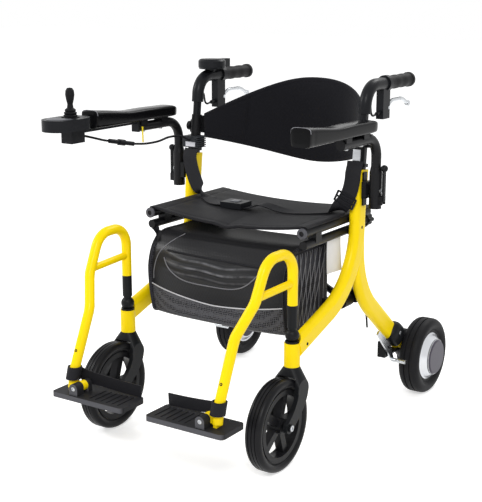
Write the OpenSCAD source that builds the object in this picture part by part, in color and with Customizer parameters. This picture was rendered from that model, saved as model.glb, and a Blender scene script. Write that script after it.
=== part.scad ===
// Powered rollator transport chair, millimetres. +Z up, the user faces -Y, -X is the user's right.
// Left-hand (+X) pieces are drawn in place and mirrored for the right.

/* [Frame] */
// Half distance between the side frames' centre planes
frame_x = 226; // [222:0.5:230]
// Side frame tube thickness across the chair
tube_w = 26; // [24:0.5:28]
// Side frame tube height in its own plane
tube_h = 46; // [42:0.5:50]
// Fore-aft place of the posts
post_y = 77; // [74:0.5:80]
// Height of the top of the yellow posts
post_top = 598; // [590:1:604]
// Backward lean of the posts above the arms' bend, degrees
lean = 6; // [4:0.25:7]
// Bend radius of both legs
leg_bend = 200; // [180:1:215]
// Half distance between the caster swivel axes
head_x = 220; // [218:0.5:223]
// Fore-aft place of the caster swivel axes
head_y = -189; // [-195:0.5:-183]
// Head tube radius
head_r = 17; // [15:0.5:19]

/* [Seat and brace] */
// Half distance between the seat tubes
seat_x = 201.5; // [200:0.25:202]
// Seat tube radius
seat_r = 10.5; // [9:0.25:10.5]
// Height of the seat tubes
seat_z = 487; // [484:0.5:495]
// Front end of the seat tubes
seat_front = -118; // [-130:1:-105]
// Rear end of the seat tubes
seat_back = 171; // [150:1:180]
// Height of the lower rails that the brace turns on
lower_z = 292; // [290:0.5:294]
// Half distance between the lower rails
lower_x = 195; // [194:0.25:196]
// Height of the brace centre pin
cross_z = 360; // [350:1:368]
// Brace arm radius
brace_r = 8; // [6:0.25:8.5]

/* [Wheels] */
// Rear wheel radius
rear_r = 93; // [90:0.5:95]
// Rear tyre width
rear_w = 52; // [46:0.5:53]
// Rear axle fore-aft place
rear_y = 356; // [354:0.5:360]
// Rear wheel centre across the chair
rear_x = 271; // [270:0.5:275]
// Motor rim radius under the tyre
rim_r = 58; // [55:0.5:60]
// Caster wheel radius
caster_r = 99; // [95:0.5:101]
// Caster tyre width
caster_w = 38; // [32:0.5:40]
// Caster trail from swivel axis to axle
trail = 58; // [54:0.5:62]

/* [Handles] */
// Outer width of the upright sleeve across the chair
sleeve_w = 20; // [19:0.25:21]
// Outer depth of the upright sleeve
sleeve_d = 27; // [25:0.25:29]
// Wall of the upright sleeve
sleeve_wall = 2.5; // [2.25:0.25:3]
// Height of the handle elbow's lower end
elbow_z = 719; // [712:0.5:726]
// Height of the grip axis
grip_z = 779; // [774:0.5:784]
// Grip radius
grip_r = 16; // [14.5:0.25:16.5]
// Rear end of the grips
grip_end = 318; // [310:1:330]

/* [Armrests] */
// Half distance between the armrests
arm_x = 268; // [266:0.5:270]
// Height of the armrest pivot
arm_pivot_z = 556; // [550:0.5:560]
// Fore-aft place of the armrest pivot
arm_y = 79; // [77:0.5:81]
// Armrest tube radius
arm_r = 11; // [9:0.25:12]
// Height of the armrest tube under the pad
arm_z = 674; // [670:0.5:676]
// Pad length
pad_len = 303; // [280:1:310]
// Pad width
pad_w = 46; // [40:0.5:46]
// Pad thickness at its front
pad_t = 39; // [34:0.5:44]

/* [Footrests] */
// Hanger tube radius
hang_r = 11; // [9:0.25:11.5]
// Half distance between the footplate hinge axes
foot_x = 164; // [162:0.25:166]
// Height of the footplate hinge axes
foot_z = 166; // [164:0.25:168]
// Footplate depth, front to back
foot_d = 80; // [70:0.5:84]
// Footplate thickness
foot_t = 11; // [8:0.5:16]
// Half gap between the two footplates
foot_gap = 30; // [29:0.5:36]

/* [Soft parts] */
// Backrest bulge behind the uprights
back_bulge = 180; // [160:1:190]
// Backrest thickness
back_t = 12; // [8:0.5:14]
// Seat sling thickness
sling_t = 3.5; // [2.5:0.25:4]
// Seat sling sag at mid span
sling_sag = 12; // [8:0.5:16]
// Belt webbing width
belt_w = 38; // [30:0.5:42]

/* [Hidden] */
$fn = 64;
// Height of the floor below the frame's working datum
floor_z = 7;
// Named clearances: running fit, sliding fit, plain gap between neighbours
run_fit = 0.05;
slide_fit = 0.3;
gap = 0.5;
// How much wider a bend is than the runs that end in it
weld = 0.3;
// Gap between the backrest's ends and the uprights
back_gap = 11;
back_span = frame_x - sleeve_w / 2 - back_gap;
inner = frame_x - tube_w / 2;
outer = frame_x + tube_w / 2;
lean_z = 502;
lean_bend = 220;
function lean_y(z) = post_y + (z - lean_z) * tan(lean);
front_path = [[lean_y(post_top), post_top], [post_y, lean_z], [post_y, 344], [head_y + 4, 259]];
leg_end = [rear_y, 100] + 62 * [-0.777, 0.629];
rear_path = [[lean_y(post_top - 3), post_top - 3], [post_y, lean_z], [post_y, 327], leg_end];
rail_r = 9.5;
lever_z = 724;
brake_c = [222, 150];
knob_z = 478;
rail_z = seat_z - 27;
bag_w = lower_x - 10.5;
post_pin_r = 7;
rest_z = 351;
pad_back = 55;
pad_front = pad_back - pad_len;
// Pod behind the pad's front: its half length and the gap
pod_len = 118;
pod_y = pad_front - pod_len / 2 - 15;
ctl_z = post_top + 24;
pad_z = arm_z + arm_r + 4;
pad_top = pad_z + pad_t;
foot_top = foot_z - 14;
foot_front = -449;
foot_rear = foot_front + foot_d;
foot_pin_r = 5;
lug_y = -415;
lug_w = 14;
hang_path = [[head_x, head_y, rest_z + gap], [head_x, head_y, 466], [217, head_y - 95, 466],
             [214, head_y - 134, 385], [188, head_y - 167, 318], [188, -412, 192], [188, -417, 158]];
hang_bends = [45, 50, 60, 60, 60];
knob_c = [-arm_x, pod_y + 15, 712];
knob_r = 15.8;
cable_r = 2.6;
cable_front = [for (q = [[-272, 91.5, 677], [-271, 74, 674], [-269, 47, 667], [-265, 17, 658.5], [-263, 0, 655]])
               [q[0], -188 + q[1] * (pod_y + 230.5) / 91.5, q[2]]];
cable_back = [[-255, -112, 640], [-251, -72, 636], [-245, -31, 637], [-236, 6, 643], [-228, 40, 642],
              [-221, lean_y(ctl_z) - 29.2, ctl_z + 8]];
// Belt points: before the post as they are, on the seat with their height over the sling; then the
// direction of the webbing's width at each point
belt_post = [[221.8, 60.4, 594], [221.5, 57.4, 575], [218, 54, 553], [210, 50.6, 533], [200, 48.6, 518.5], [189, 51, 510]];
belt_dirs = [[1, 0, 0], [1, 0, 0], [1, 0, 0], [0.97, 0, -0.22], [0.92, 0.16, -0.35], [0.45, 0.85, -0.2]];
function on_sling(list) = [for (q = list) [q[0], q[1], sling_top(q[0], q[1]) + q[2]]];
belt_l_path = concat([[221, 72, 634], [221.3, 71, 622], [221.7, 66.6, 608]], belt_post,
                     on_sling([[176, 54.5, 4.4], [157, 53, 3], [120, 44, 2], [77, 38, 2], [45, 34, 7], [18, 31, 14],
                               [0, 28, 15], [-14, 22, 9], [-30.5, 22, 5.5]]));
belt_r_path = concat([[-221.6, 67.4, 610]], [for (q = belt_post) [-q[0], q[1], q[2]]],
                     on_sling([[-176, 52, 4.4], [-157, 45, 4.2], [-132, 28, 2.6], [-112, 20, 3.5], [-92.5, 20, 5.5]]));
belt_l_dirs = concat([for (i = [0 : 2]) [1, 0, 0]], belt_dirs, [for (i = [0 : 8]) [0, 1, 0]]);
belt_r_dirs = concat([[1, 0, 0]], [for (d = belt_dirs) [d[0], -d[1], -d[2]]], [for (i = [0 : 4]) [0, -1, 0]]);
buckle = [-61.5, 20, sling_top(-90, 40) + 7.4];

function unit(v) = v / norm(v);
function turn_at(p, i) = acos(max(-1, min(1, unit(p[i] - p[i - 1]) * unit(p[i + 1] - p[i]))));
function trim_at(p, rb, i) = (i == 0 || i == len(p) - 1) ? 0 : rb[i - 1] * tan(turn_at(p, i) / 2);
function to3(p) = [for (q = p) [0, q[0], q[1]]];

// Sets a piece on the floor, and its mirror image for the right-hand side
module left() {
    translate([0, 0, -floor_z]) children();
}
module right() {
    left() mirror([1, 0, 0]) children();
}

// Flat oval, a long and b wide
module oval(a, b) {
    square([a - b, b], center = true);
    for (s = [-1, 1]) translate([s * (a - b) / 2, 0]) circle(d = b);
}

// Flat oval pillar along the leaning upright, long along Y
module pillar(z0, z1, w, d) {
    upright() translate([frame_x, post_y, z0]) rotate(90) linear_extrude(z1 - z0) oval(d, w);
}
// Leans a piece drawn upright back with the post
module upright() {
    translate([0, post_y, lean_z]) rotate([-lean, 0, 0]) translate([0, -post_y, -lean_z]) children();
}

// Round rod between two points
module rod(a, b, r) {
    d = b - a;
    translate(a) rotate([0, acos(d[2] / norm(d)), atan2(d[1], d[0])]) cylinder(r = r, h = norm(d));
}

// Round rod along X, from x0 to x1
module rod_x(x0, x1, y, z, r) {
    translate([x0, y, z]) rotate([0, 90, 0]) cylinder(r = r, h = x1 - x0);
}

// Round rod along Y, from y0 to y1
module rod_y(x, y0, y1, z, r) {
    translate([x, y0, z]) rotate([-90, 0, 0]) cylinder(r = r, h = y1 - y0);
}

// Upright box between two corners
module block(a, b) {
    translate(a) cube(b - a);
}

// Tube of a by b through straight runs and round bends; a lies in the bend plane. The bends are a
// hair larger, so that each run ends inside them
module section(a, b) {
    if (a == b) circle(d = a);
    else oval(a, b);
}
module tube(p, rb, a, b) {
    for (i = [0 : len(p) - 2]) {
        d = unit(p[i + 1] - p[i]);
        from = p[i] + d * max(0, trim_at(p, rb, i) - 1.5);
        to = p[i + 1] - d * max(0, trim_at(p, rb, i + 1) - 1.5);
        k = i < len(p) - 2 ? i + 1 : i;
        side = unit(cross(p[k] - p[k - 1], p[k + 1] - p[k]));
        e = cross(side, d);
        multmatrix([[e[0], side[0], d[0], from[0]], [e[1], side[1], d[1], from[1]],
                    [e[2], side[2], d[2], from[2]], [0, 0, 0, 1]])
            linear_extrude(norm(to - from)) section(a, b);
    }
    for (i = [1 : len(p) - 2]) {
        d = unit(p[i] - p[i - 1]);
        side = unit(cross(p[i] - p[i - 1], p[i + 1] - p[i]));
        e = cross(d, side);
        c = p[i] - d * trim_at(p, rb, i) - e * rb[i - 1];
        multmatrix([[e[0], d[0], side[0], c[0]], [e[1], d[1], side[1], c[1]],
                    [e[2], d[2], side[2], c[2]], [0, 0, 0, 1]])
            rotate_extrude(angle = turn_at(p, i)) translate([rb[i - 1], 0]) section(a + weld, b + weld);
    }
}

// Closed solid through equal rings of points
module loft(rings) {
    n = len(rings[0]);
    m = len(rings);
    polyhedron(
        points = [for (r = rings) for (q = r) q],
        faces = concat([[for (i = [0 : n - 1]) i]], [[for (i = [n - 1 : -1 : 0]) (m - 1) * n + i]],
            [for (k = [0 : m - 2]) for (i = [0 : n - 1])
                each [[k * n + i, (k + 1) * n + i, (k + 1) * n + (i + 1) % n],
                      [k * n + i, (k + 1) * n + (i + 1) % n, k * n + (i + 1) % n]]]));
}

// Round cord through hand-chosen points
function side_of(p, i) = unit(cross(unit(p[min(i + 1, len(p) - 1)] - p[max(i - 1, 0)]), [0, 0, 1]));
function up_of(p, i) = cross(side_of(p, i), unit(p[min(i + 1, len(p) - 1)] - p[max(i - 1, 0)]));
module cord(p, r) {
    loft([for (i = [0 : len(p) - 1]) [for (k = [0 : 7])
        p[i] + r * (sin(k * 45) * side_of(p, i) + cos(k * 45) * up_of(p, i))]]);
}

// Smooth curve of n steps between each two points
function between(p, i, t) = let (a = p[max(i - 1, 0)], b = p[i], c = p[i + 1], d = p[min(i + 2, len(p) - 1)])
    0.5 * (2 * b + (c - a) * t + (2 * a - 5 * b + 4 * c - d) * t * t + (3 * b - a - 3 * c + d) * t * t * t);
function smooth(p, n) = concat([for (i = [0 : len(p) - 2]) for (k = [0 : n - 1]) between(p, i, k / n)], [p[len(p) - 1]]);

// Flat webbing through hand-chosen points; dirs has the direction of its width at each point
module webbing(points, dirs, w, t) {
    p = smooth(points, 4);
    e = smooth(dirs, 4);
    m = len(p);
    polyhedron(
        points = [for (i = [0 : m - 1]) let (d = unit(p[min(i + 1, m - 1)] - p[max(i - 1, 0)]),
            b = unit(e[i] - d * (e[i] * d)), n = cross(d, b))
            for (c = [[-1, -1], [1, -1], [1, 1], [-1, 1]]) p[i] + b * c[0] * w / 2 + n * c[1] * t / 2],
        faces = concat([[0, 1, 2, 3]], [[for (i = [3 : -1 : 0]) (m - 1) * 4 + i]],
            [for (k = [0 : m - 2]) for (i = [0 : 3]) let (a = k * 4 + i, b = a + 4, d = k * 4 + (i + 1) % 4, c = d + 4)
                each i == 2 ? [[a, b, d], [b, c, d]] : [[a, b, c], [a, c, d]]]));
}

module side_frame() {
    color("#e8c81e") difference() {
        union() {
            translate([frame_x, 0, 0]) {
                tube(to3(front_path), [lean_bend, leg_bend - 15], tube_h, tube_w);
                tube(to3(rear_path), [lean_bend, leg_bend], tube_h - 1, tube_w - 1);
            }
            translate([head_x, head_y, 219]) cylinder(r = head_r, h = 51);
        }
        translate([head_x, head_y, 200]) cylinder(r = 8 + run_fit, h = 90);
        translate([head_x, head_y, 270]) cylinder(r = head_r + 1, h = 40);
        pillar(lean_z + 10, post_top + 9, sleeve_w + 2 * slide_fit, sleeve_d + 2 * slide_fit);
        rod_y(frame_x, post_y + 8, post_y + 40, knob_z, 4 + run_fit);
    }
}

// Seat rail with saddles and lower brace rail, each bracketed to the side frame
module rails() {
    color("#1c1c1e") {
        rod_y(seat_x, seat_front, seat_back - 10, rail_z, rail_r);
        for (y = [seat_front + 50, 128]) difference() {
            block([seat_x - 10, y - 12, rail_z], [seat_x + 10, y + 12, seat_z - 4]);
            rod_y(seat_x, y - 20, y + 20, seat_z, seat_r + gap);
        }
        block([seat_x, post_y - 9, rail_z - 8], [inner - weld / 2 - 0.05, post_y + 9, rail_z + 8]);
        rod_y(lower_x, -22, 124, lower_z, 10);
        block([lower_x, -22, lower_z - 8], [inner - weld / 2 - 0.05, -4, lower_z + 30]);
        block([lower_x, 106, lower_z - 8], [inner - weld / 2 - 0.05, 124, lower_z + 24]);
    }
}

// Drop-out that wraps the leg's end, with axle, brake base and the held run of brake cable
module leg_prism(z0, z1, a, b) {
    d = [0, 0.777, -0.629];
    multmatrix([[0, 1, 0, frame_x], [-d[2], 0, d[1], leg_end[0]], [d[1], 0, d[2], leg_end[1]], [0, 0, 0, 1]])
        translate([0, 0, z0]) linear_extrude(z1 - z0) oval(a, b);
}
module motor_mount() {
    color("#161617") {
        difference() {
            union() {
                leg_prism(0.2, 40, tube_h + 6, tube_w - 2);
                rod_x(inner, outer, rear_y, 100, 27);
                rod_x(inner - 1, outer + 1, 324, 146, 23);
                block([inner + 4, 222, 124], [outer - 2, 330, 130]);
                block([inner + 4, 214, 124], [outer - 2, 230, 162]);
            }
            leg_prism(-90, 0.2, tube_h + 0.4, tube_w + 0.4);
        }
        rod_x(outer - 1, rear_x + 12, rear_y, 100, 8);
        for (q = [[324, 158], [334, 140]]) rod_x(inner - 4, inner, q[0], q[1], 5);
        rod_x(outer - 4, outer + 8, brake_c[0], brake_c[1], 4);
    }
    color("#101011") tube([[inner - 2.8, 130, 284], [inner - 2.8, 164, 242], [inner - 2.8, 170, 208]], [20], 4.6, 4.6);
}

module hub_shell() {
    color("#b9bcc0") difference() {
        translate([rear_x, rear_y, 100]) rotate([0, 90, 0]) rotate_extrude()
            polygon([[0, -24], [46, -24], [rim_r - 4, -18], [rim_r, -18], [rim_r, 18], [rim_r - 4, 20],
                     [rim_r - 14, 32], [44, 32], [44, 35], [40, 39], [0, 39]]);
        rod_x(rear_x - 30, rear_x + 13, rear_y, 100, 8 + run_fit);
    }
}

module hub_tyre() {
    color("#1a1a1b") translate([rear_x, rear_y, 100]) rotate([0, 90, 0]) rotate_extrude() difference() {
        union() {
            translate([rim_r, -rear_w / 2 + 8]) square([20, rear_w - 16]);
            translate([rear_r - 15, 0]) rotate(90) oval(rear_w, 30);
        }
        translate([rim_r - 30, -40]) square([30, 80]);
        for (s = [-1, 1]) translate([rear_r - 2.5, s * 7 - 1.5]) square([5, 3]);
    }
}

// Tyre brake: lever plate with shoe bar, turns on the mount's pin
module brake_arm() {
    color("#b4b7ba") difference() {
        union() {
            rod_x(outer + gap, outer + 5, brake_c[0], brake_c[1], 9);
            translate([outer + 5, 0, 0]) rotate([0, -90, 0]) linear_extrude(4.5) polygon(
                [[158, 222], [152, 231], [114, 250], [109, 242], [142, 214], [168, 188], [198, 160], [205, 168],
                 [180, 200]]);
            rod_x(outer + gap, rear_x + 6, 246, 112, 5);
        }
        rod_x(outer - 5, outer + 10, brake_c[0], brake_c[1], 4 + run_fit);
    }
}

module caster_fork() {
    w = caster_w / 2;
    a = [head_x, head_y - trail, 106];
    color("#18181a") difference() {
        union() {
            translate([head_x, head_y, 205]) cylinder(r = 8, h = 58);
            hull() {
                translate([head_x, head_y, 212]) cylinder(r = head_r, h = 6.5, $fn = 32);
                for (s = [-1, 1]) rod_x(head_x + s * (w + 8) - 5, head_x + s * (w + 8) + 5, head_y - 4, 174, 21, $fn = 32);
            }
            for (s = [-1, 1]) translate([head_x + s * (w + 8) - 5, head_y, 0]) rotate([0, -90, 180])
                linear_extrude(10) fork_leg();
        }
        rod_x(head_x - w - 2.5, head_x + w + 2.5, a[1], a[2], caster_r + 3);
    }
    color("#c4c6c8") {
        rod_x(head_x - w - 15, head_x + w + 15, a[1], a[2], 5);
        for (s = [-1, 1]) rod_x(head_x + s * (w + 15) - 2, head_x + s * (w + 15) + 2, a[1], a[2], 8);
    }
}

// Fork leg outline, [height, forward], along a curved centre line that narrows to the axle
function leg_c(t) = (1 - t) * (1 - t) * [174, 4] + 2 * t * (1 - t) * [142, 4] + t * t * [106, trail];
function leg_n(t) = let (d = unit(leg_c(t + 0.02) - leg_c(t - 0.02))) [-d[1], d[0]];
module fork_leg() {
    polygon([for (i = [0 : 10]) leg_c(i / 10) + (21 - i * 0.9) * leg_n(i / 10),
             for (i = [10 : -1 : 0]) leg_c(i / 10) - (21 - i * 0.9) * leg_n(i / 10)]);
    translate([106, trail]) circle(r = 13);
}

module caster_wheel() {
    a = [head_x, head_y - trail, 106];
    color("#202022") translate(a) rotate([0, 90, 0]) difference() {
        union() {
            cylinder(r = 17, h = caster_w - 2, center = true);
            rotate_extrude() translate([caster_r - 33, -15]) square([11 + weld, 30]);
            for (i = [0 : 4]) rotate(i * 72 + 18) translate([10, -8, -9]) cube([caster_r - 40, 16, 18]);
        }
        cylinder(r = 5 + run_fit, h = 60, center = true);
    }
    color("#151516") translate(a) rotate([0, 90, 0]) rotate_extrude() difference() {
        union() {
            translate([caster_r - 22, -13]) square([12, 26]);
            translate([caster_r - 10, 0]) rotate(90) oval(caster_w, 20);
        }
        translate([caster_r - 42, -30]) square([20, 60]);
        for (s = [-1, 0, 1]) translate([caster_r - 2, s * 8 - 1]) square([5, 2]);
    }
}

// Ball collar, black post and pin of the swing-away footrest
module swing_post() {
    color("#141415") translate([head_x, head_y, 0]) {
        translate([0, 0, 270]) cylinder(r = head_r - 2, h = 4);
        translate([0, 0, 286]) sphere(r = 15);
        translate([0, 0, 298]) cylinder(r = 9, h = 6);
        translate([0, 0, 303]) cylinder(r = 11, h = rest_z - 303);
        translate([0, 0, rest_z]) cylinder(r = post_pin_r, h = 46);
    }
}

module hanger() {
    color("#e8c81e") difference() {
        union() {
            tube(hang_path, hang_bends, 2 * hang_r, 2 * hang_r);
            rod([head_x, head_y, 399], [214.4, head_y - 129, 394], 8);
            block([184, lug_y - 11, foot_top + gap], [192, lug_y + 11, foot_top + 26]);
            block([foot_x, lug_y - lug_w / 2, foot_z - 7], [190, lug_y + lug_w / 2, foot_z + 7]);
            rod_y(foot_x, lug_y - lug_w / 2, lug_y + lug_w / 2, foot_z, 11);
            rod_y(foot_x, foot_front + 6, lug_y + 21, foot_z, foot_pin_r);
        }
        translate([head_x, head_y, rest_z - 5]) cylinder(r = post_pin_r + run_fit, h = 54);
    }
}

module footplate() {
    x0 = foot_gap;
    x1 = foot_x + 58;
    color("#232326") {
        difference() {
            translate([0, 0, foot_top - foot_t]) linear_extrude(foot_t) {
                translate([x0, foot_front + 10]) square([x1 - x0, foot_d - 20]);
                translate([x0 + 10, foot_front]) square([x1 - x0 - 20, foot_d]);
                for (x = [x0 + 10, x1 - 10]) for (y = [foot_front + 10, foot_rear - 10]) translate([x, y]) circle(r = 10);
            }
            for (i = [0 : 5]) block([x0 + 16 + i * 15, foot_front + 12, foot_top - 1.5],
                                    [x0 + 21 + i * 15, foot_rear - 12, foot_top + 1]);
        }
        for (q = [[foot_front + 5, lug_y - lug_w / 2 - gap], [lug_y + lug_w / 2 + gap, lug_y + 19.5]]) difference() {
            union() {
                rod_y(foot_x, q[0], q[1], foot_z, 11);
                block([foot_x - 11, q[0], foot_top - 1], [foot_x + 11, q[1], foot_z]);
            }
            rod_y(foot_x, q[0] - 1, q[1] + 1, foot_z, foot_pin_r + run_fit);
        }
    }
}

// Heel strap from a collar on the hanger to the plate's inner rear corner
module heel_band() {
    color("#19191a") {
        difference() {
            translate([188, -412, 179]) cylinder(r = hang_r + 6, h = 18);
            tube([hang_path[4], hang_path[5], hang_path[6]], [60], 2 * hang_r + 1, 2 * hang_r + 1);
        }
        webbing([[186, -394.6, 182], [150, -387, 176], [104, -380, 170], [66, -376.5, 167],
                 [36, foot_rear - 5, foot_top + 13.4]], [for (i = [0 : 4]) [0, 0, 1]], 26, 2.4);
    }
}

// Fixed outer upright with the backrest clamp and its screw
module upright_sleeve() {
    color("#18181a") {
        difference() {
            union() {
                pillar(lean_z + 14, 690, sleeve_w, sleeve_d);
                pillar(post_top + 6, post_top + 13, sleeve_w + 8, sleeve_d + 10);
                upright() block([frame_x - 8, post_y, 647], [frame_x + 18, post_y + 12, 677]);
                upright() block([back_span + 4.2, post_y + 8, 647], [frame_x + 8, post_y + 20, 688]);
            }
            pillar(lean_z, 700, sleeve_w - 2 * sleeve_wall + 2 * slide_fit, sleeve_d - 2 * sleeve_wall + 2 * slide_fit);
        }
        upright() rod_x(frame_x + 17, frame_x + 26, post_y + 6, 662, 11);
    }
}

module handle_elbow() {
    color("#1b1b1d") {
        pillar(570, elbow_z + 12, sleeve_w - 2 * sleeve_wall, sleeve_d - 2 * sleeve_wall);
        translate([frame_x, 0, 0])
            tube(to3([[lean_y(elbow_z), elbow_z], [lean_y(grip_z), grip_z], [196, grip_z]]), [46], 28, 28);
        difference() {
            block([frame_x - 9, 172, 700], [frame_x + 9, 205, grip_z]);
            rod_x(frame_x - 4.4, frame_x + 4.4, 202, lever_z, 24);
            rod_x(frame_x - 20, frame_x + 20, 202, lever_z, 4 + run_fit);
        }
        rod_y(frame_x, 190, 204.5, grip_z, grip_r + 2);
        rod_y(frame_x, 204, grip_end - 12, grip_z, 11);
        rod([frame_x, 173, 716], [frame_x, 156, 713], 4.5);
        tube([[frame_x, 157, 713.2], [frame_x, 132, 709], [frame_x, 126, 738], [frame_x, 106, 744]], [12, 12], 4.6, 4.6);
    }
}

module handle_grip() {
    color("#141415") difference() {
        union() {
            translate([frame_x, 205, grip_z]) rotate([-90, 0, 0]) rotate_extrude() polygon(concat([[0, 0]],
                [for (i = [0 : 16]) [grip_r - 0.5 + 0.5 * cos(i * 67.5), i * (grip_end - 209) / 16]], [[0, grip_end - 209]]));
            rod_y(frame_x, grip_end - 9, grip_end, grip_z, grip_r + 1);
        }
        rod_y(frame_x, 200, grip_end - 11.5, grip_z, 11 + slide_fit);
    }
}

module brake_lever() {
    color("#a9acb0") {
        rod_x(frame_x - 9, frame_x + 9, 202, lever_z, 4);
        rod_x(frame_x - 4, frame_x + 4, 202, lever_z, 9);
        translate([frame_x, 0, 0])
            tube(to3([[204, lever_z - 2], [230, lever_z + 14], [284, lever_z + 14], [314, lever_z]]), [30, 60], 9, 7);
        rod_x(frame_x - 4, frame_x + 4, 314, lever_z, 6.5);
    }
}

module height_knob() {
    y = post_y + tube_h / 2 + gap;
    color("#1a1a1b") {
        rod_y(frame_x, post_y + 10, y + 1, knob_z, 4);
        rod_y(frame_x, y, y + 14, knob_z, 8);
        rod_y(frame_x, y + 14, y + 34, knob_z, 9.5);
        for (i = [0 : 4]) rod_y(frame_x + 8 * cos(i * 72), y + 14, y + 34, knob_z + 8 * sin(i * 72), 5);
    }
}

// Armrest bracket on the post's outer face, with the pivot pin
module arm_bracket() {
    x = arm_x - 14 - 1.5;
    color("#1a1a1c") {
        block([outer + 0.2, arm_y - 8, 520], [outer + 4, arm_y + 8, 594]);
        block([outer + 3, arm_y - 16, arm_pivot_z - 18], [x, arm_y + 16, arm_pivot_z + 18]);
        rod_x(x - 1, x + 1, arm_y, arm_pivot_z, 12);
        rod_x(x, arm_x + 13, arm_y, arm_pivot_z, 6);
    }
}

module armrest_tube() {
    color("#1a1a1c") {
        difference() {
            union() {
                translate([arm_x, arm_y, 516]) cylinder(r = 14, h = 80);
                translate([arm_x, arm_y, 596]) cylinder(r1 = 14, r2 = arm_r + 0.5, h = 12);
                for (y = [arm_y - 9, arm_y + 5]) block([arm_x + 8, y, 526], [arm_x + 21, y + 4, 544]);
            }
            rod_x(arm_x - 30, arm_x + 30, arm_y, arm_pivot_z, 6 + run_fit);
            rod_y(arm_x + 17, arm_y - 20, arm_y + 20, 535, 2.5 + run_fit);
        }
        tube([[arm_x, arm_y, 600], [arm_x, arm_y, arm_z], [arm_x, -84, arm_z]], [44], 2 * arm_r, 2 * arm_r);
        for (y = [-68, 10]) block([arm_x - 12, y - 12, arm_z + 4], [arm_x + 12, y + 12, pad_z]);
    }
}

// Pad: crowned top, sides drawn in, thicker at its front
function pad_h(t) = pad_t * (1 - 0.33 * t * (2 - t) * (t < 0.9 ? 1 : 1 + (t - 0.9) * 2));
function pad_end(t) = t < 0.03 ? sqrt(1 - pow(1 - t / 0.03, 2)) : t > 0.9 ? sqrt(max(0, 1 - pow((t - 0.9) / 0.1, 2))) : 1;
module armrest_pad() {
    w = pad_w / 2;
    ts = [0.002, 0.008, 0.018, 0.03, 0.15, 0.27, 0.39, 0.51, 0.63, 0.75, 0.85, 0.9, 0.94, 0.97, 0.988, 0.997];
    color("#161617") loft([for (t = ts) let (k = t < 0.5 ? 0.85 + 0.15 * pad_end(t) : 0.4 + 0.6 * pad_end(t), h = pad_h(t) * (0.6 + 0.4 * pad_end(t)))
        [for (c = [[-0.86, 0], [-0.97, 0.2], [-1, 0.5], [-0.97, 0.78], [-0.82, 0.94], [-0.45, 0.99], [0, 1],
                   [0.45, 0.99], [0.82, 0.94], [0.97, 0.78], [1, 0.5], [0.97, 0.2], [0.86, 0]])
            [arm_x + c[0] * w * k, pad_front + pad_len * t, pad_z + c[1] * h]]]);
}

module armrest_latch() {
    x = arm_x + 17;
    color("#151516") {
        rod_y(x, arm_y - 9, arm_y + 9, 535, 2.5);
        block([x - 2, arm_y - 4.5, 532.5], [x + 6, arm_y + 4.5, 542]);
        block([x + 1, arm_y - 4.5, 540], [x + 6, arm_y + 4.5, 600]);
        translate([x + 3.5, arm_y, 606]) sphere(r = 8);
    }
}

// Scissor arm with seat tube, rail sleeve and centre lug; s picks the arm's plane and direction
module brace(s) {
    y = s < 0 ? 64 : 86;
    low = [s * lower_x, y, lower_z];
    top = [-s * seat_x, y, seat_z];
    color("#202024") difference() {
        union() {
            rod(low, top, brace_r);
            rod_y(low[0], y - 22, y + 16, lower_z, 15);
            rod_y(top[0], seat_front, seat_back, seat_z, seat_r);
            rod_y(0, y - 7, y + 7, cross_z, 15);
            block([-9, y - 7, cross_z], [9, y + 7, lower_z + (seat_z - lower_z) * lower_x / (lower_x + seat_x)]);
        }
        rod_y(low[0], -60, 160, lower_z, 10 + run_fit);
        if (s > 0) rod_y(0, y - 20, y + 20, cross_z, 7 + run_fit);
    }
}
module brace_a() {
    brace(-1);
    color("#202024") {
        rod_y(0, 60, 97, cross_z, 7);
        rod_y(0, 97, 102, cross_z, 11);
    }
    color("#3a3a3d") rod_y(seat_x, seat_front - 5, seat_front, seat_z, seat_r + 0.6);
}
module brace_b() {
    brace(1);
    color("#3a3a3d") rod_y(-seat_x, seat_front - 5, seat_front, seat_z, seat_r + 0.6);
}

// Sling: hems over both seat tubes, deeper sag and a middle crease at its front edge
function sling_dz(x, v) = let (u = abs(x) / seat_x)
    -(sling_sag + 7 * pow(1 - v, 4)) * (1 - u * u) - 6 * pow(1 - v, 4) * max(0, 1 - 6 * u);
function sling_top(x, y) = seat_z + seat_r + gap + sling_t + sling_dz(x, (y - seat_front - 3) / (seat_back - seat_front));
module seat_sling() {
    r0 = seat_r + gap;
    xs = [-0.9, -0.72, -0.5, -0.3, -0.16, -0.07, 0, 0.07, 0.16, 0.3, 0.5, 0.72, 0.9];
    // Cross-section stations: place across, height at the back, unit normal; then shared sag
    hem = [for (a = [128, 109, 90]) [cos(a), sin(a)]];
    st = concat([for (h = hem) [-seat_x + r0 * h[0], r0 * h[1], h]],
                [for (k = xs) [k * seat_x, r0, [0, 1]]],
                [for (i = [2, 1, 0]) [seat_x - r0 * hem[i][0], r0 * hem[i][1], [-hem[i][0], hem[i][1]]]]);
    vs = [0, 0.06, 0.15, 0.3, 0.5, 0.75, 1];
    color("#1b1b1d") loft([for (q = st)
        [for (t = [sling_t, 0]) for (i = t > 0 ? [6 : -1 : 0] : [0 : 1 : 6])
            [q[0] + t * q[2][0], seat_front + 3 + vs[i] * (seat_back - seat_front),
             seat_z + q[1] + t * q[2][1] + (abs(q[0]) < seat_x - 0.01 ? sling_dz(q[0], vs[i]) : 0)]]]);
}

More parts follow.
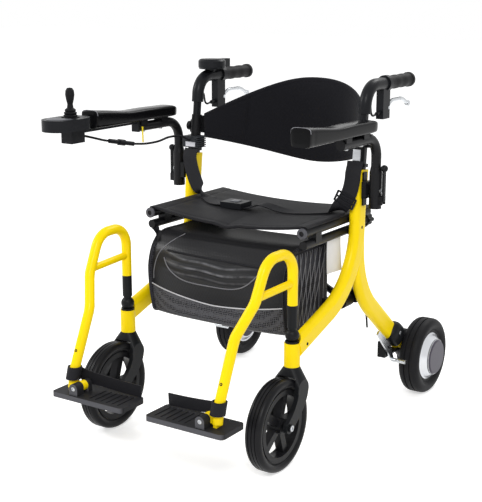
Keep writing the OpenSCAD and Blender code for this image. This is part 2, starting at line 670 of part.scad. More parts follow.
// Backrest band: deep curve behind the uprights, higher and lower in the middle
function back_y(x) = post_y + 22 + gap + back_bulge * (1 - pow(min(1, abs(x) / back_span), 3));
function back_top(x) = 775 - 83 * pow(abs(x) / back_span, 2.2);
function back_low(x) = 569 + 66 * pow(abs(x) / back_span, 2);
module backrest() {
    xs = [-1, -0.97, -0.93, -0.87, -0.78, -0.66, -0.52, -0.36, -0.18, 0, 0.18, 0.36, 0.52, 0.66, 0.78, 0.87, 0.93, 0.97, 1];
    prof = [[0, 0], [0.1, 0.8], [0.3, 1], [0.7, 1], [0.9, 0.8], [1, 0], [0.88, -0.05], [0.5, -0.1], [0.12, -0.05]];
    color("#1d1d1f") loft([for (k = xs) let (x = k * back_span, s = 0.5,
        dx = (back_y(x + s) - back_y(x - s)) / (2 * s), n = unit([-dx, 1]))
        [for (q = prof) let (t = q[1] * back_t * (1 - 0.6 * pow(abs(k), 8))) [x + n[0] * t, back_y(x) + n[1] * t,
                         back_low(x) + q[0] * (back_top(x) - back_low(x))]]]);
}

// Under-seat bag, a closed hollow shell with a bulged front pocket
module bag_side(t) {
    polygon([[32 - t, 262 + t], [-110, 256 + t], [-150 + t, 262 + t], [-158 + t, 300], [-164 + t, 340], [-164 + t, 380],
             [-150 + t, 418], [-122 + t, 446 - t], [-100, 452 - t], [32 - t, 452 - t]]);
}
module bag() {
    color("#222225") {
        difference() {
            translate([-bag_w, 0, 0]) rotate([90, 0, 90]) linear_extrude(2 * bag_w) bag_side(0);
            translate([3 - bag_w, 0, 0]) rotate([90, 0, 90]) linear_extrude(2 * bag_w - 6) bag_side(3);
        }
        for (s = [-1, 1]) translate([s * (bag_w + 2.5), -45, 453])
            cube([2 * (seat_x - rail_r - gap - bag_w - 2.5), 120, 14], center = true);
    }
}

module battery() {
    w = bag_w - 3.3;
    color("#55585c") {
        block([-w, -90, 265.4], [-w + 92, 20, 400]);
        block([-w + 30, -50, 400], [-w + 62, -20, 412]);
    }
}

// Controller that wraps the user's right upright; fins face inward, label plate left bare
module controller_box() {
    y = lean_y(ctl_z);
    color("#4a4d51") difference() {
        union() {
            block([-frame_x - 18, y - 26, ctl_z - 9], [-199, y + 7, ctl_z + 18]);
            block([-frame_x - 10, y - 27.5, ctl_z - 7], [-206, y - 25, ctl_z + 11]);
        }
        mirror([1, 0, 0]) pillar(ctl_z - 42, ctl_z + 38, sleeve_w + 2 * slide_fit, sleeve_d + 2 * slide_fit);
        for (i = [0 : 4]) block([-204, y - 30, ctl_z - 7.5 + i * 5], [-198, y + 30, ctl_z - 5 + i * 5]);
    }
}

// Joystick pod on the right armrest, with the gimbal well, lower socket block and carrier bar
module joystick_pod() {
    color("#26272a") difference() {
        union() {
            translate([-arm_x, pod_y, 694]) linear_extrude(25) rotate(90) oval(pod_len, 72);
            block([-arm_x - 15, pod_y, 664], [-arm_x + 15, pod_y + 42, 695]);
            block([-arm_x - 10, pod_y + 32, pad_z - 5.5], [-arm_x + 10, -84.3, pad_z - gap]);
            block([-arm_x - 10, pod_y + 32, pad_z - 5.5], [-arm_x + 10, pod_y + 58, 696]);
            block([-arm_x - 10, -89, arm_z - 10], [-arm_x + 10, -84.3, pad_z - gap]);
        }
        translate([knob_c[0], knob_c[1], 698]) cylinder(r = 20.4, h = 30);
        rod_x(-arm_x - 24, -arm_x + 24, knob_c[1], knob_c[2], 1.5 + run_fit);
    }
}

module joystick_gimbal() {
    color("#8a8c90") difference() {
        union() {
            translate(knob_c - [0, 0, 2]) cylinder(r = 19.2, h = 4.4);
            rod_x(knob_c[0] - 23, knob_c[0] + 23, knob_c[1], knob_c[2], 1.5);
        }
        translate(knob_c - [0, 0, 8]) cylinder(r = knob_r + 0.8, h = 16);
        rod_y(knob_c[0], knob_c[1] - 22, knob_c[1] + 22, knob_c[2], 1.5 + run_fit);
    }
}

module joystick_knob() {
    color("#121213") {
        intersection() {
            translate(knob_c) sphere(r = knob_r);
            translate(knob_c - [20, 20, 10]) cube([40, 40, 18]);
        }
        rod_y(knob_c[0], knob_c[1] - 18.8, knob_c[1] + 18.8, knob_c[2], 1.5);
        translate([knob_c[0], knob_c[1], 0]) rotate_extrude() polygon([
            [0, 716], [13, 719], [15, 722], [15, 724], [12.5, 726], [14, 728], [14, 730], [11, 732], [12, 734],
            [12, 736], [7, 740], [6, 748], [8.5, 758], [10, 768], [9, 777], [5.5, 782], [0, 783]]);
    }
}

// Round display puck saddled on the right handle, inboard of the armrest's path, with its rear socket
module control_puck() {
    z = grip_z + 17;
    c = [-frame_x + 15, 140, z];
    color("#17181a") {
        difference() {
            translate([-frame_x, 152, grip_z + 5]) cylinder(r = 12, h = 14);
            rod_y(-frame_x, 100, 220, grip_z, 14 + gap);
        }
        translate(c) cylinder(r1 = 31, r2 = 33, h = 5);
        translate(c + [0, 0, 5]) cylinder(r = 33, h = 14);
        translate(c + [0, 0, 19]) cylinder(r1 = 33, r2 = 29, h = 4);
        block(c + [-12, 26, 2], c + [12, 60, 22]);
    }
}

module joystick_cable() {
    color("#111112") {
        cord(cable_front, cable_r);
        cord(cable_back, cable_r);
    }
}

module cable_connector() {
    a = cable_front[4] + [0.03, 0.3, -0.06];
    b = cable_back[0] - [0.03, 0.3, -0.06];
    color("#171718") {
        rod(a, b, 5);
        rod(a + 0.38 * (b - a), a + 0.62 * (b - a), 7);
    }
}

// Yellow tie that hangs the cable from the armrest tube
module cable_tie() {
    color("#e8c81e") rod([-254.9, -78, arm_z + 2], [-252.4, -80, 640.4], 1.8);
}

module belt_l() {
    color("#1a1a1c") webbing(belt_l_path, belt_l_dirs, belt_w, 2);
    color("#c9cbce") upright() block([frame_x - 14, post_y - sleeve_d / 2 - 2.4, post_top + 14],
                                     [frame_x + 5, post_y - sleeve_d / 2 - 0.3, post_top + 44]);
}
module belt_r() {
    color("#1a1a1c") webbing(belt_r_path, belt_r_dirs, belt_w, 2);
}
module belt_buckle() {
    color("#141415") difference() {
        translate(buckle) cube([57, belt_w + 8, 14], center = true);
        translate(buckle + [0, 0, 9]) cube([24, 24, 10], center = true);
    }
    color("#8d9094") translate(buckle + [0, 0, 5.8]) cube([23.4, 23.4, 2.8], center = true);
}

right() side_frame();  // side_frame_r
left() side_frame();  // side_frame_l
right() rails();  // rails_r
left() rails();  // rails_l
right() motor_mount();  // motor_mount_r
left() motor_mount();  // motor_mount_l
right() hub_shell();  // hub_shell_r
left() hub_shell();  // hub_shell_l
right() hub_tyre();  // hub_tyre_r
left() hub_tyre();  // hub_tyre_l
right() brake_arm();  // brake_arm_r
left() brake_arm();  // brake_arm_l
right() caster_fork();  // caster_fork_r
left() caster_fork();  // caster_fork_l
right() caster_wheel();  // caster_wheel_r
left() caster_wheel();  // caster_wheel_l
right() swing_post();  // swing_post_r
left() swing_post();  // swing_post_l
right() hanger();  // hanger_r
left() hanger();  // hanger_l
right() footplate();  // footplate_r
left() footplate();  // footplate_l
right() heel_band();  // heel_band_r
left() heel_band();  // heel_band_l
right() upright_sleeve();  // upright_sleeve_r
left() upright_sleeve();  // upright_sleeve_l
right() handle_elbow();  // handle_elbow_r
left() handle_elbow();  // handle_elbow_l
right() handle_grip();  // handle_grip_r
left() handle_grip();  // handle_grip_l
right() brake_lever();  // brake_lever_r
left() brake_lever();  // brake_lever_l
right() height_knob();  // height_knob_r
left() height_knob();  // height_knob_l
right() arm_bracket();  // arm_bracket_r
left() arm_bracket();  // arm_bracket_l
right() armrest_tube();  // armrest_tube_r
left() armrest_tube();  // armrest_tube_l
right() armrest_pad();  // armrest_pad_r
left() armrest_pad();  // armrest_pad_l
right() armrest_latch();  // armrest_latch_r
left() armrest_latch();  // armrest_latch_l
left() brace_a();
left() brace_b();
left() seat_sling();
left() backrest();
left() bag();
left() battery();
left() controller_box();
left() joystick_pod();
left() joystick_gimbal();
left() joystick_knob();
left() control_puck();
left() joystick_cable();
left() cable_connector();
left() cable_tie();
left() belt_r();
left() belt_l();
left() belt_buckle();
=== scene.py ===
"""Dresses the rollator transport chair: cloth, pads, webbing, cables, fittings, finishes and stage."""

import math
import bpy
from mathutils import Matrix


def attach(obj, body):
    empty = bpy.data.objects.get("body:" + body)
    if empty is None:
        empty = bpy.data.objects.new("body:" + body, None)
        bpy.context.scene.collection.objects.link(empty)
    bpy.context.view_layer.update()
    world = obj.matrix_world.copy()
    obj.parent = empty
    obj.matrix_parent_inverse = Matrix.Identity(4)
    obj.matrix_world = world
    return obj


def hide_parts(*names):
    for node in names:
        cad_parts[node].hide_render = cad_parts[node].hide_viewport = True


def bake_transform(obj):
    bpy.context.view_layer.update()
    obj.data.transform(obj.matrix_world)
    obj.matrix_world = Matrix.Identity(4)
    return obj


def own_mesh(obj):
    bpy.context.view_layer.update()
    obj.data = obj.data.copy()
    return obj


bl_info = {
    "name": "Rollator transport chair",
    "version": (1, 0, 0),
    "blender": (4, 5, 0),
    "location": "3D View > Sidebar > Chair",
    "description": "Models the soft parts, fittings and finishes of a powered rollator transport chair",
    "category": "Add Mesh",
}

import bpy
from mathutils import Vector

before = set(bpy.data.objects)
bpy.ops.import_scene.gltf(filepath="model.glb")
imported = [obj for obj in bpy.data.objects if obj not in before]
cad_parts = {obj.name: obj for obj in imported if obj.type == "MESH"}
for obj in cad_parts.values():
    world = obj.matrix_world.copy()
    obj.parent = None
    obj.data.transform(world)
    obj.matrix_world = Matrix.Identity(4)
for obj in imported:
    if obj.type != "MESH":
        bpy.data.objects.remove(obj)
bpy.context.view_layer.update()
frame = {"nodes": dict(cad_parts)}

SIDES = (("r", -1), ("l", 1))  # the user's right is at -X

# Places and sizes shared with the drawing, in millimetres
FLOOR = 7  # the drawing's heights are counted from 7 mm below the floor
SEAT_X = 201.5  # middle of each seat tube, sideways
SEAT_Z = 487  # and its height
SEAT_R = 11  # radius of a seat tube
SEAT_FRONT = -115  # front edge of the seat cloth
SEAT_LONG = 289  # seat cloth, front to rear
BACK_HALF = 205  # half the backrest's span
BACK_FRONT = 99.5  # backrest at the uprights
BACK_DEEP = 180  # how far its middle lies behind them
PAD_X = 268  # middle of each armrest, sideways
PAD_REAR = 55
PAD_LONG = 303
PAD_BASE = 689.2  # height of the pad's underside
PAD_HALF = 22.6  # half the pad's width
HANGER_X = 188  # middle of each footrest tube, sideways
HUB_Y = 356  # rear axle
HUB_Z = 100
# Front of the bag in side view, as height and place
BAG_FRONT = [(256, -116), (262, -150), (300, -158), (340, -164), (380, -164), (418, -150), (446, -122),
             (452, -100)]

# Camera fitted to the photograph, and the lamps as place, size and watts
CAMERA_PLACE = (1.3928, -2.1448, 1.0079)
CAMERA_DOWN = 13.54  # degrees below level
CAMERA_TURN = 33.63  # degrees from straight ahead
CAMERA_LENS = 82.08
LAMPS = (((1.6, -2.6, 2.6), 1.0, 56), ((-2.6, -1.4, 2.0), 0.9, 34), ((0.4, 2.2, 2.8), 1.2, 34))
LAMP_AIM = Vector((0, 0, 0.4))
FLOOR_GLOW = 0.55
WORLD_LIGHT = 0.62


def linear(code):
    """sRGB hex to a linear colour."""
    parts = [int(code[i:i + 2], 16) / 255 for i in (1, 3, 5)]
    return tuple(c / 12.92 if c <= 0.04045 else ((c + 0.055) / 1.055) ** 2.4 for c in parts)


def at(x, y, z):
    """A point of the drawing, in millimetres, as a point of the frame, in metres."""
    return Vector((x, y, z - FLOOR)) / 1000


class ChairSizes(bpy.types.PropertyGroup):
    sling_thickness: bpy.props.FloatProperty(
        name="Seat thickness", description="Thickness of the seat cloth", default=0.0035, unit="LENGTH")
    sling_sag: bpy.props.FloatProperty(
        name="Seat sag", description="Sag of the seat at mid span", default=0.012, unit="LENGTH")
    back_thickness: bpy.props.FloatProperty(
        name="Backrest thickness", description="Padding of the backrest band", default=0.012, unit="LENGTH")
    belt_width: bpy.props.FloatProperty(
        name="Belt width", description="Width of the lap belt webbing", default=0.038, unit="LENGTH")
    strap_width: bpy.props.FloatProperty(
        name="Heel strap width", description="Width of the heel straps", default=0.026, unit="LENGTH")
    cable_diameter: bpy.props.FloatProperty(
        name="Cable diameter", description="Diameter of the joystick cable", default=0.0052, unit="LENGTH")


class ChairColours(bpy.types.PropertyGroup):
    frame: bpy.props.FloatVectorProperty(
        name="Frame", description="Powder coat of the side frames", subtype="COLOR",
        default=linear("#ffdc08"))
    metal: bpy.props.FloatVectorProperty(
        name="Black metal", description="Powder coat of the black tubes", subtype="COLOR",
        default=linear("#151517"))
    plastic: bpy.props.FloatVectorProperty(
        name="Plastic", description="Moulded black nylon", subtype="COLOR", default=linear("#161719"))
    cloth: bpy.props.FloatVectorProperty(
        name="Cloth", description="Woven polyester", subtype="COLOR", default=linear("#151518"))
    piping: bpy.props.FloatVectorProperty(
        name="Piping", description="Pale piping on the bag", subtype="COLOR", default=linear("#b4b4b8"))


def sizes():
    return bpy.context.scene.chair_sizes


def colours():
    return bpy.context.scene.chair_colours


# Materials


def add(tree, kind, inputs=None, **settings):
    """Adds a node, sets it and links or fills its inputs."""
    made = tree.nodes.new(kind)
    for key, value in settings.items():
        setattr(made, key, value)
    for key, value in (inputs or {}).items():
        if isinstance(value, bpy.types.NodeSocket):
            tree.links.new(value, made.inputs[key])
        else:
            made.inputs[key].default_value = value
    return made


def surface(name, roughness, metallic=0.0, specular=0.12):
    """A new material with its tree and shader."""
    made = bpy.data.materials.new(name)
    made.use_nodes = True
    shader = made.node_tree.nodes["Principled BSDF"]
    shader.inputs["Roughness"].default_value = roughness
    shader.inputs["Metallic"].default_value = metallic
    shader.inputs["Specular IOR Level"].default_value = 0.5 if metallic else specular
    return made, made.node_tree, shader


def rgba(colour, shade=1.0):
    return (*(min(1.0, c * shade) for c in colour[:3]), 1.0)


def scale_of(size_mm):
    """Texture scale that draws a pattern at a real size."""
    return 1000 / size_mm


def mottled(tree, low, high, size_mm):
    """Object coordinates, and a colour that drifts between two shades over patches of a real size."""
    where = add(tree, "ShaderNodeTexCoord").outputs["Object"]
    noise = add(tree, "ShaderNodeTexNoise", {"Vector": where, "Scale": scale_of(size_mm), "Detail": 3.0})
    mix = add(tree, "ShaderNodeMix", {"Factor": noise.outputs["Fac"], "A": low, "B": high}, data_type="RGBA")
    return where, mix.outputs["Result"]


def pattern(tree, shader, colour, height, strength, depth_mm):
    """Gives the shader a pattern's colour and its relief."""
    tree.links.new(colour, shader.inputs["Base Color"])
    bump = add(tree, "ShaderNodeBump", {"Height": height, "Strength": strength, "Distance": depth_mm / 1000})
    tree.links.new(bump.outputs["Normal"], shader.inputs["Normal"])


def powder_coat(name, colour, roughness):
    # Sprayed and baked polyester powder: even colour, soft gloss and a fine orange peel
    made, tree, shader = surface(name, roughness)
    where, shade = mottled(tree, rgba(colour, 0.95), rgba(colour, 1.04), 60)
    peel = add(tree, "ShaderNodeTexNoise", {"Vector": where, "Scale": scale_of(4), "Detail": 2.0})
    pattern(tree, shader, shade, peel.outputs["Fac"], 0.12, 0.3)
    shader.inputs["Coat Weight"].default_value = 0.05
    shader.inputs["Coat Roughness"].default_value = 0.15
    return made


def moulded_nylon(name, colour, roughness):
    # Injection moulded glass-filled nylon: spark-eroded grain, a little paler where it is rubbed
    made, tree, shader = surface(name, roughness)
    where, shade = mottled(tree, rgba(colour, 0.85), rgba(colour, 1.2), 25)
    grain = add(tree, "ShaderNodeTexVoronoi", {"Vector": where, "Scale": scale_of(1.6)})
    pattern(tree, shader, shade, grain.outputs["Distance"], 0.18, 0.2)
    return made


def tyre_rubber(name, code, roughness=0.55):
    # Vulcanised rubber: dull where it is worn, with fine pores
    made, tree, shader = surface(name, roughness)
    where, shade = mottled(tree, rgba(linear(code), 0.8), rgba(linear(code), 1.35), 14)
    pores = add(tree, "ShaderNodeTexNoise", {"Vector": where, "Scale": scale_of(1.5), "Detail": 4.0})
    pattern(tree, shader, shade, pores.outputs["Fac"], 0.2, 0.25)
    return made


def polyurethane_skin():
    # Self-skinned polyurethane foam: glossy, with a shallow leather grain
    made, tree, shader = surface("polyurethane_skin", 0.18, specular=0.08)
    where, shade = mottled(tree, rgba(linear("#0b0b0c")), rgba(linear("#111113")), 40)
    grain = add(tree, "ShaderNodeTexVoronoi", {"Vector": where, "Scale": scale_of(4.5)}, feature="SMOOTH_F1")
    pattern(tree, shader, shade, grain.outputs["Distance"], 0.05, 0.3)
    return made


def threads(tree, repeat_u, repeat_v):
    """Over-and-under height of a plain weave on the piece's own UV map, with so many threads each way."""
    uv = add(tree, "ShaderNodeTexCoord").outputs["UV"]
    split = add(tree, "ShaderNodeSeparateXYZ", {"Vector": uv})
    waves = []
    for axis, count in (("X", repeat_u), ("Y", repeat_v)):
        turned = add(tree, "ShaderNodeMath", {0: split.outputs[axis], 1: count * math.tau},
                     operation="MULTIPLY")
        waves.append(add(tree, "ShaderNodeMath", {0: turned.outputs[0]}, operation="SINE").outputs[0])
    product = add(tree, "ShaderNodeMath", {0: waves[0], 1: waves[1]}, operation="MULTIPLY").outputs[0]
    height = add(tree, "ShaderNodeMapRange", {"Value": product, "From Min": -1.0, "From Max": 1.0})
    return height.outputs["Result"]


def woven_polyester(name, colour, counts, contrast, roughness, specular=0.12):
    # Coated Oxford polyester; the thread pitch is drawn at about 4 mm, coarser than real, so that it shows
    made, tree, shader = surface(name, roughness, specular=specular)
    height = threads(tree, *counts)
    where = add(tree, "ShaderNodeTexCoord").outputs["Object"]
    patches = add(tree, "ShaderNodeTexNoise", {"Vector": where, "Scale": scale_of(70), "Detail": 3.0})
    cloth = add(tree, "ShaderNodeMix", {"Factor": height, "A": rgba(colour, 1 - contrast),
                                        "B": rgba(colour, 1 + contrast)}, data_type="RGBA")
    worn = add(tree, "ShaderNodeMix", {"Factor": patches.outputs["Fac"], "A": cloth.outputs["Result"],
                                       "B": rgba(colour, 1.35)}, data_type="RGBA")
    pattern(tree, shader, worn.outputs["Result"], height, 0.35, 0.4)
    shader.inputs["Sheen Weight"].default_value = 0.04
    shader.inputs["Sheen Roughness"].default_value = 0.5
    return made


def foil_with_painted_crease_highlights(name, low_code, highlight_code):
    # Thin coated cloth: glossy, with painted highlights that make it pale in patches along the creases that
    # the mesh stores as "crease"
    made, tree, shader = surface(name, 0.28, specular=0.25)
    crease = add(tree, "ShaderNodeAttribute", attribute_name="crease").outputs["Fac"]
    where = add(tree, "ShaderNodeTexCoord").outputs["Object"]
    patches = add(tree, "ShaderNodeTexNoise", {"Vector": where, "Scale": scale_of(22), "Detail": 3.0})
    patches = patches.outputs["Fac"]
    patchy = add(tree, "ShaderNodeMapRange", {"Value": patches, "From Min": 0.3, "From Max": 0.65})
    # Painted highlight: pale colour in patches on the crests of the creases
    crease_highlight = add(tree, "ShaderNodeMath", {0: crease, 1: patchy.outputs["Result"]}, operation="MULTIPLY")
    mix = add(tree, "ShaderNodeMix", {"Factor": crease_highlight.outputs[0], "A": rgba(linear(low_code)),
                                      "B": rgba(linear(highlight_code))}, data_type="RGBA")
    pattern(tree, shader, mix.outputs["Result"], patches, 0.2, 1.0)
    return made


def air_mesh(name, thread_code, gap_code, size_mm):
    # Knitted spacer mesh: grey threads round dark round gaps, drawn coarser than real so that it shows
    made, tree, shader = surface(name, 0.7)
    where = add(tree, "ShaderNodeTexCoord").outputs["Object"]
    cells = add(tree, "ShaderNodeTexVoronoi", {"Vector": where, "Scale": scale_of(size_mm),
                                               "Randomness": 0.25})
    edge = add(tree, "ShaderNodeMapRange", {"Value": cells.outputs["Distance"], "From Min": 0.25,
                                            "From Max": 0.5}).outputs["Result"]
    mix = add(tree, "ShaderNodeMix", {"Factor": edge, "A": rgba(linear(gap_code)),
                                      "B": rgba(linear(thread_code))}, data_type="RGBA")
    pattern(tree, shader, mix.outputs["Result"], edge, 0.4, 0.5)
    return made


def nylon_webbing(name, code, ribs):
    # Woven nylon webbing: ribs run along the strap
    made, tree, shader = surface(name, 0.55)
    height = threads(tree, 60, ribs)
    mix = add(tree, "ShaderNodeMix", {"Factor": height, "A": rgba(linear(code), 0.7),
                                      "B": rgba(linear(code), 1.6)}, data_type="RGBA")
    pattern(tree, shader, mix.outputs["Result"], height, 0.5, 0.4)
    return made


def brushed_metal(name, code, roughness, along):
    # Brushed or bright-rolled metal: fine streaks along one direction
    made, tree, shader = surface(name, roughness, 1.0)
    where = add(tree, "ShaderNodeTexCoord").outputs["Object"]
    stretch = add(tree, "ShaderNodeMapping", {"Vector": where, "Scale": along}).outputs["Vector"]
    streaks = add(tree, "ShaderNodeTexNoise", {"Vector": stretch, "Scale": scale_of(3), "Detail": 4.0})
    streaks = streaks.outputs["Fac"]
    mix = add(tree, "ShaderNodeMix", {"Factor": streaks, "A": rgba(linear(code), 0.85),
                                      "B": rgba(linear(code), 1.12)}, data_type="RGBA")
    pattern(tree, shader, mix.outputs["Result"], streaks, 0.08, 0.1)
    return made


def hub_finish(side):
    # Turned aluminium shell with lathe rings 2.2 mm apart; its outer cap is dark anodised
    cap_radius, ring_mm = 0.0435, 2.2
    made, tree, shader = surface("turned_aluminium" + side, 0.3)
    where = add(tree, "ShaderNodeTexCoord").outputs["Object"]
    centre = at(0, HUB_Y, HUB_Z)
    split = add(tree, "ShaderNodeSeparateXYZ", {"Vector": where})
    squares = []
    for axis, middle in (("Y", centre.y), ("Z", centre.z)):
        offset = add(tree, "ShaderNodeMath", {0: split.outputs[axis], 1: middle}, operation="SUBTRACT")
        square = add(tree, "ShaderNodeMath", {0: offset.outputs[0], 1: 2.0}, operation="POWER")
        squares.append(square.outputs[0])
    radius = add(tree, "ShaderNodeMath", {0: squares[0], 1: squares[1]}, operation="ADD")
    radius = add(tree, "ShaderNodeMath", {0: radius.outputs[0], 1: 0.5}, operation="POWER").outputs[0]
    cap = add(tree, "ShaderNodeMath", {0: radius, 1: cap_radius}, operation="LESS_THAN").outputs[0]
    ring = add(tree, "ShaderNodeMath", {0: radius, 1: math.tau * scale_of(ring_mm)}, operation="MULTIPLY")
    ring = add(tree, "ShaderNodeMath", {0: ring.outputs[0]}, operation="SINE").outputs[0]
    mix = add(tree, "ShaderNodeMix", {"Factor": cap, "A": rgba(linear("#d2d4d8")),
                                      "B": rgba(linear("#4f4c56"))}, data_type="RGBA")
    shine = add(tree, "ShaderNodeMapRange", {"Value": cap, "To Min": 0.85, "To Max": 0.1})
    tree.links.new(shine.outputs["Result"], shader.inputs["Metallic"])
    pattern(tree, shader, mix.outputs["Result"], ring, 0.1, 0.1)
    return made


def footplate_finish():
    # Moulded plate: black tread, paler on the faces turned to the front
    made, tree, shader = surface("moulded_polypropylene", 0.5)
    where, shade = mottled(tree, rgba(linear("#1c1c1e")), rgba(linear("#2c2c2f")), 20)
    normal = add(tree, "ShaderNodeTexCoord").outputs["Normal"]
    ahead = add(tree, "ShaderNodeSeparateXYZ", {"Vector": normal}).outputs["Y"]
    front = add(tree, "ShaderNodeMapRange", {"Value": ahead, "From Min": -0.3, "From Max": -0.9})
    front_faces_paler = add(tree, "ShaderNodeMix", {"Factor": front.outputs["Result"], "A": shade,
                                          "B": rgba(linear("#515155"))}, data_type="RGBA")
    grain = add(tree, "ShaderNodeTexVoronoi", {"Vector": where, "Scale": scale_of(2.5)})
    pattern(tree, shader, front_faces_paler.outputs["Result"], grain.outputs["Distance"], 0.25, 0.3)
    return made


def build_finishes():
    c = colours()
    return {
        "yellow": powder_coat("yellow_powder_coat", c.frame, 0.33),
        "black": powder_coat("black_powder_coat", c.metal, 0.4),
        "nylon": moulded_nylon("moulded_nylon", c.plastic, 0.42),
        "abs": moulded_nylon("moulded_abs", linear("#191a1d"), 0.34),
        "tyre": tyre_rubber("tyre_rubber", "#19191b"),
        "caster": tyre_rubber("caster_rubber", "#161618", 0.36),
        "grip": tyre_rubber("grip_rubber", "#131315"),
        "cap": tyre_rubber("grey_rubber", "#505055"),
        "skin": polyurethane_skin(),
        "seat": woven_polyester("seat_oxford_cloth", c.cloth, (55, 40), 0.3, 0.6),
        "back": woven_polyester("backrest_stretch_cloth", linear("#141418"), (40, 60), 0.15, 0.85),
        "bag": woven_polyester("bag_coated_cloth", linear("#1a1a1c"), (60, 60), 0.2, 0.34, 0.18),
        # The pocket's pale #747478 is a painted highlight on its creases
        "pocket": foil_with_painted_crease_highlights("pocket_foil_cloth_painted_highlights", "#1b1b1d", "#747478"),
        "mesh": air_mesh("bag_spacer_mesh", "#58585c", "#1c1c1e", 4.5),
        # Pale grey seam cord: painted highlight along the pads' front edges
        "seam_highlight": moulded_nylon("vinyl_seam_painted_highlight", linear("#85858a"), 0.3),
        "net": air_mesh("gusset_net", "#333338", "#0d0d0f", 5.0),
        "webbing": nylon_webbing("nylon_webbing", "#1b1b1e", 8),
        "edging": woven_polyester("bag_edging", linear("#6c6c70"), (40, 4), 0.1, 0.5),
        "tag": woven_polyester("satin_tag", linear("#d4d4d6"), (30, 30), 0.04, 0.5),
        "piping": woven_polyester("bag_piping", c.piping, (40, 4), 0.1, 0.5),
        "steel": brushed_metal("bright_steel", "#c3c6c9", 0.25, (1.0, 0.06, 1.0)),
        "zinc": brushed_metal("zinc_plated_steel", "#b9bbbe", 0.3, (0.2, 1.0, 1.0)),
        "label": brushed_metal("brushed_aluminium_plate", "#b3b3b8", 0.42, (0.05, 1.0, 1.0)),
        "heatsink": powder_coat("anodised_heatsink", linear("#2c2e32"), 0.42),
        "panel": moulded_nylon("silver_lacquered_panel", linear("#5d5e63"), 0.3),
        "tie": moulded_nylon("polyethylene_tie", linear("#f0d51c"), 0.4),
        "cable": tyre_rubber("pvc_cable", "#161618"),
        "foot": footplate_finish(),
        "hub_r": hub_finish("_r"),
        "hub_l": hub_finish("_l"),
    }


FINISH = {}
CAD_FINISH = {
    "side_frame": "yellow", "hanger": "yellow", "rails": "black", "motor_mount": "nylon", "hub_tyre": "tyre",
    "brake_arm": "steel", "caster_fork": "nylon", "caster_wheel": "caster", "swing_post": "nylon",
    "footplate": "foot", "upright_sleeve": "black", "handle_elbow": "abs", "handle_grip": "grip",
    "brake_lever": "steel", "height_knob": "nylon", "arm_bracket": "nylon", "armrest_tube": "black",
    "armrest_latch": "nylon", "brace_a": "black", "brace_b": "black", "battery": "abs",
    "controller_box": "heatsink", "joystick_pod": "abs", "joystick_gimbal": "zinc", "joystick_knob": "grip",
    "control_puck": "abs", "cable_connector": "abs", "cable_tie": "tie", "belt_buckle": "abs",
    "hub_shell_r": "hub_r", "hub_shell_l": "hub_l",
}


# Modelling helpers


def deselect():
    if bpy.context.object and bpy.context.object.mode != "OBJECT":
        bpy.ops.object.mode_set(mode="OBJECT")
    bpy.ops.object.select_all(action="DESELECT")


def select(obj):
    """Makes a piece the only selected one, and active."""
    deselect()
    obj.select_set(True)
    bpy.context.view_layer.objects.active = obj


def named(name):
    made = bpy.context.object
    made.name = name
    made.data.name = name
    return made


def tidy(obj, angle=35):
    """Merges doubles, turns faces outwards and smooths by angle."""
    select(obj)
    bpy.ops.object.transform_apply()
    bpy.ops.object.mode_set(mode="EDIT")
    bpy.ops.mesh.select_all(action="SELECT")
    bpy.ops.mesh.remove_doubles(threshold=0.00001)
    bpy.ops.mesh.normals_make_consistent(inside=False)
    bpy.ops.object.mode_set(mode="OBJECT")
    bpy.ops.object.shade_smooth_by_angle(angle=math.radians(angle))
    return obj


def applied(obj, kind, **settings):
    """Adds a modifier and applies it."""
    made = obj.modifiers.new(kind.lower(), kind)
    for key, value in settings.items():
        setattr(made, key, value)
    select(obj)
    bpy.ops.object.modifier_apply(modifier=made.name)
    return obj


def paint(obj, finish):
    """Gives a piece one material."""
    obj.data.materials.clear()
    obj.data.materials.append(FINISH[finish])
    return obj


def dress(obj, body, finish, slot):
    """Gives a finished piece its material and body."""
    paint(obj, finish)
    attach(obj, body)
    return obj


def span(obj, finish, slot, bodies, start, end):
    """Gives a soft piece its material and bakes its place into its mesh."""
    paint(obj, finish)
    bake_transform(obj)
    return obj


def loft(name, around, along, place):
    """A closed skin whose rings are place(ring, turn from 0 to 1); the first and last are points."""
    deselect()
    bpy.ops.mesh.primitive_uv_sphere_add(segments=around, ring_count=along, radius=1)
    made = named(name)
    poles = {0: None, along: None}
    for end in poles:
        total = Vector((0, 0, 0))
        for i in range(around):
            total += place(end, i / around)
        poles[end] = total / around
    for vertex in made.data.vertices:
        ring = round(math.acos(max(-1, min(1, vertex.co.z))) / math.pi * along)
        turn = (math.atan2(vertex.co.y, vertex.co.x) / math.tau) % 1
        vertex.co = poles[ring] if ring in poles else place(ring, turn)
    return made


def smooth_path(points, steps):
    """Points of a Catmull-Rom curve through the given ones."""
    ends = [points[0] * 2 - points[1]] + list(points) + [points[-1] * 2 - points[-2]]
    path = []
    for i in range(len(points) - 1):
        a, b, c, d = ends[i:i + 4]
        for k in range(steps):
            t = k / steps
            path.append(0.5 * (2 * b + (c - a) * t + (2 * a - 5 * b + 4 * c - d) * t * t
                               + (3 * b - a - 3 * c + d) * t ** 3))
    path.append(points[-1].copy())
    return path


def strap(name, points, across, width, thickness, steps=6):
    """Flat webbing along a path; across is the direction of its width, or one for each point."""
    path = smooth_path(points, steps)
    turns = smooth_path(across, steps) if isinstance(across, list) else [across] * len(path)
    last = len(path) - 1
    deselect()
    bpy.ops.mesh.primitive_grid_add(x_subdivisions=last, y_subdivisions=8, size=2)
    made = named(name)
    for vertex in made.data.vertices:
        i = round((vertex.co.x + 1) / 2 * last)
        way = (path[min(i + 1, last)] - path[max(i - 1, 0)]).normalized()
        side = (turns[i] - way * turns[i].dot(way)).normalized()
        vertex.co = path[i] + side * (vertex.co.y * width / 2)
    applied(made, "SOLIDIFY", thickness=thickness, offset=0)
    return tidy(made, 50)


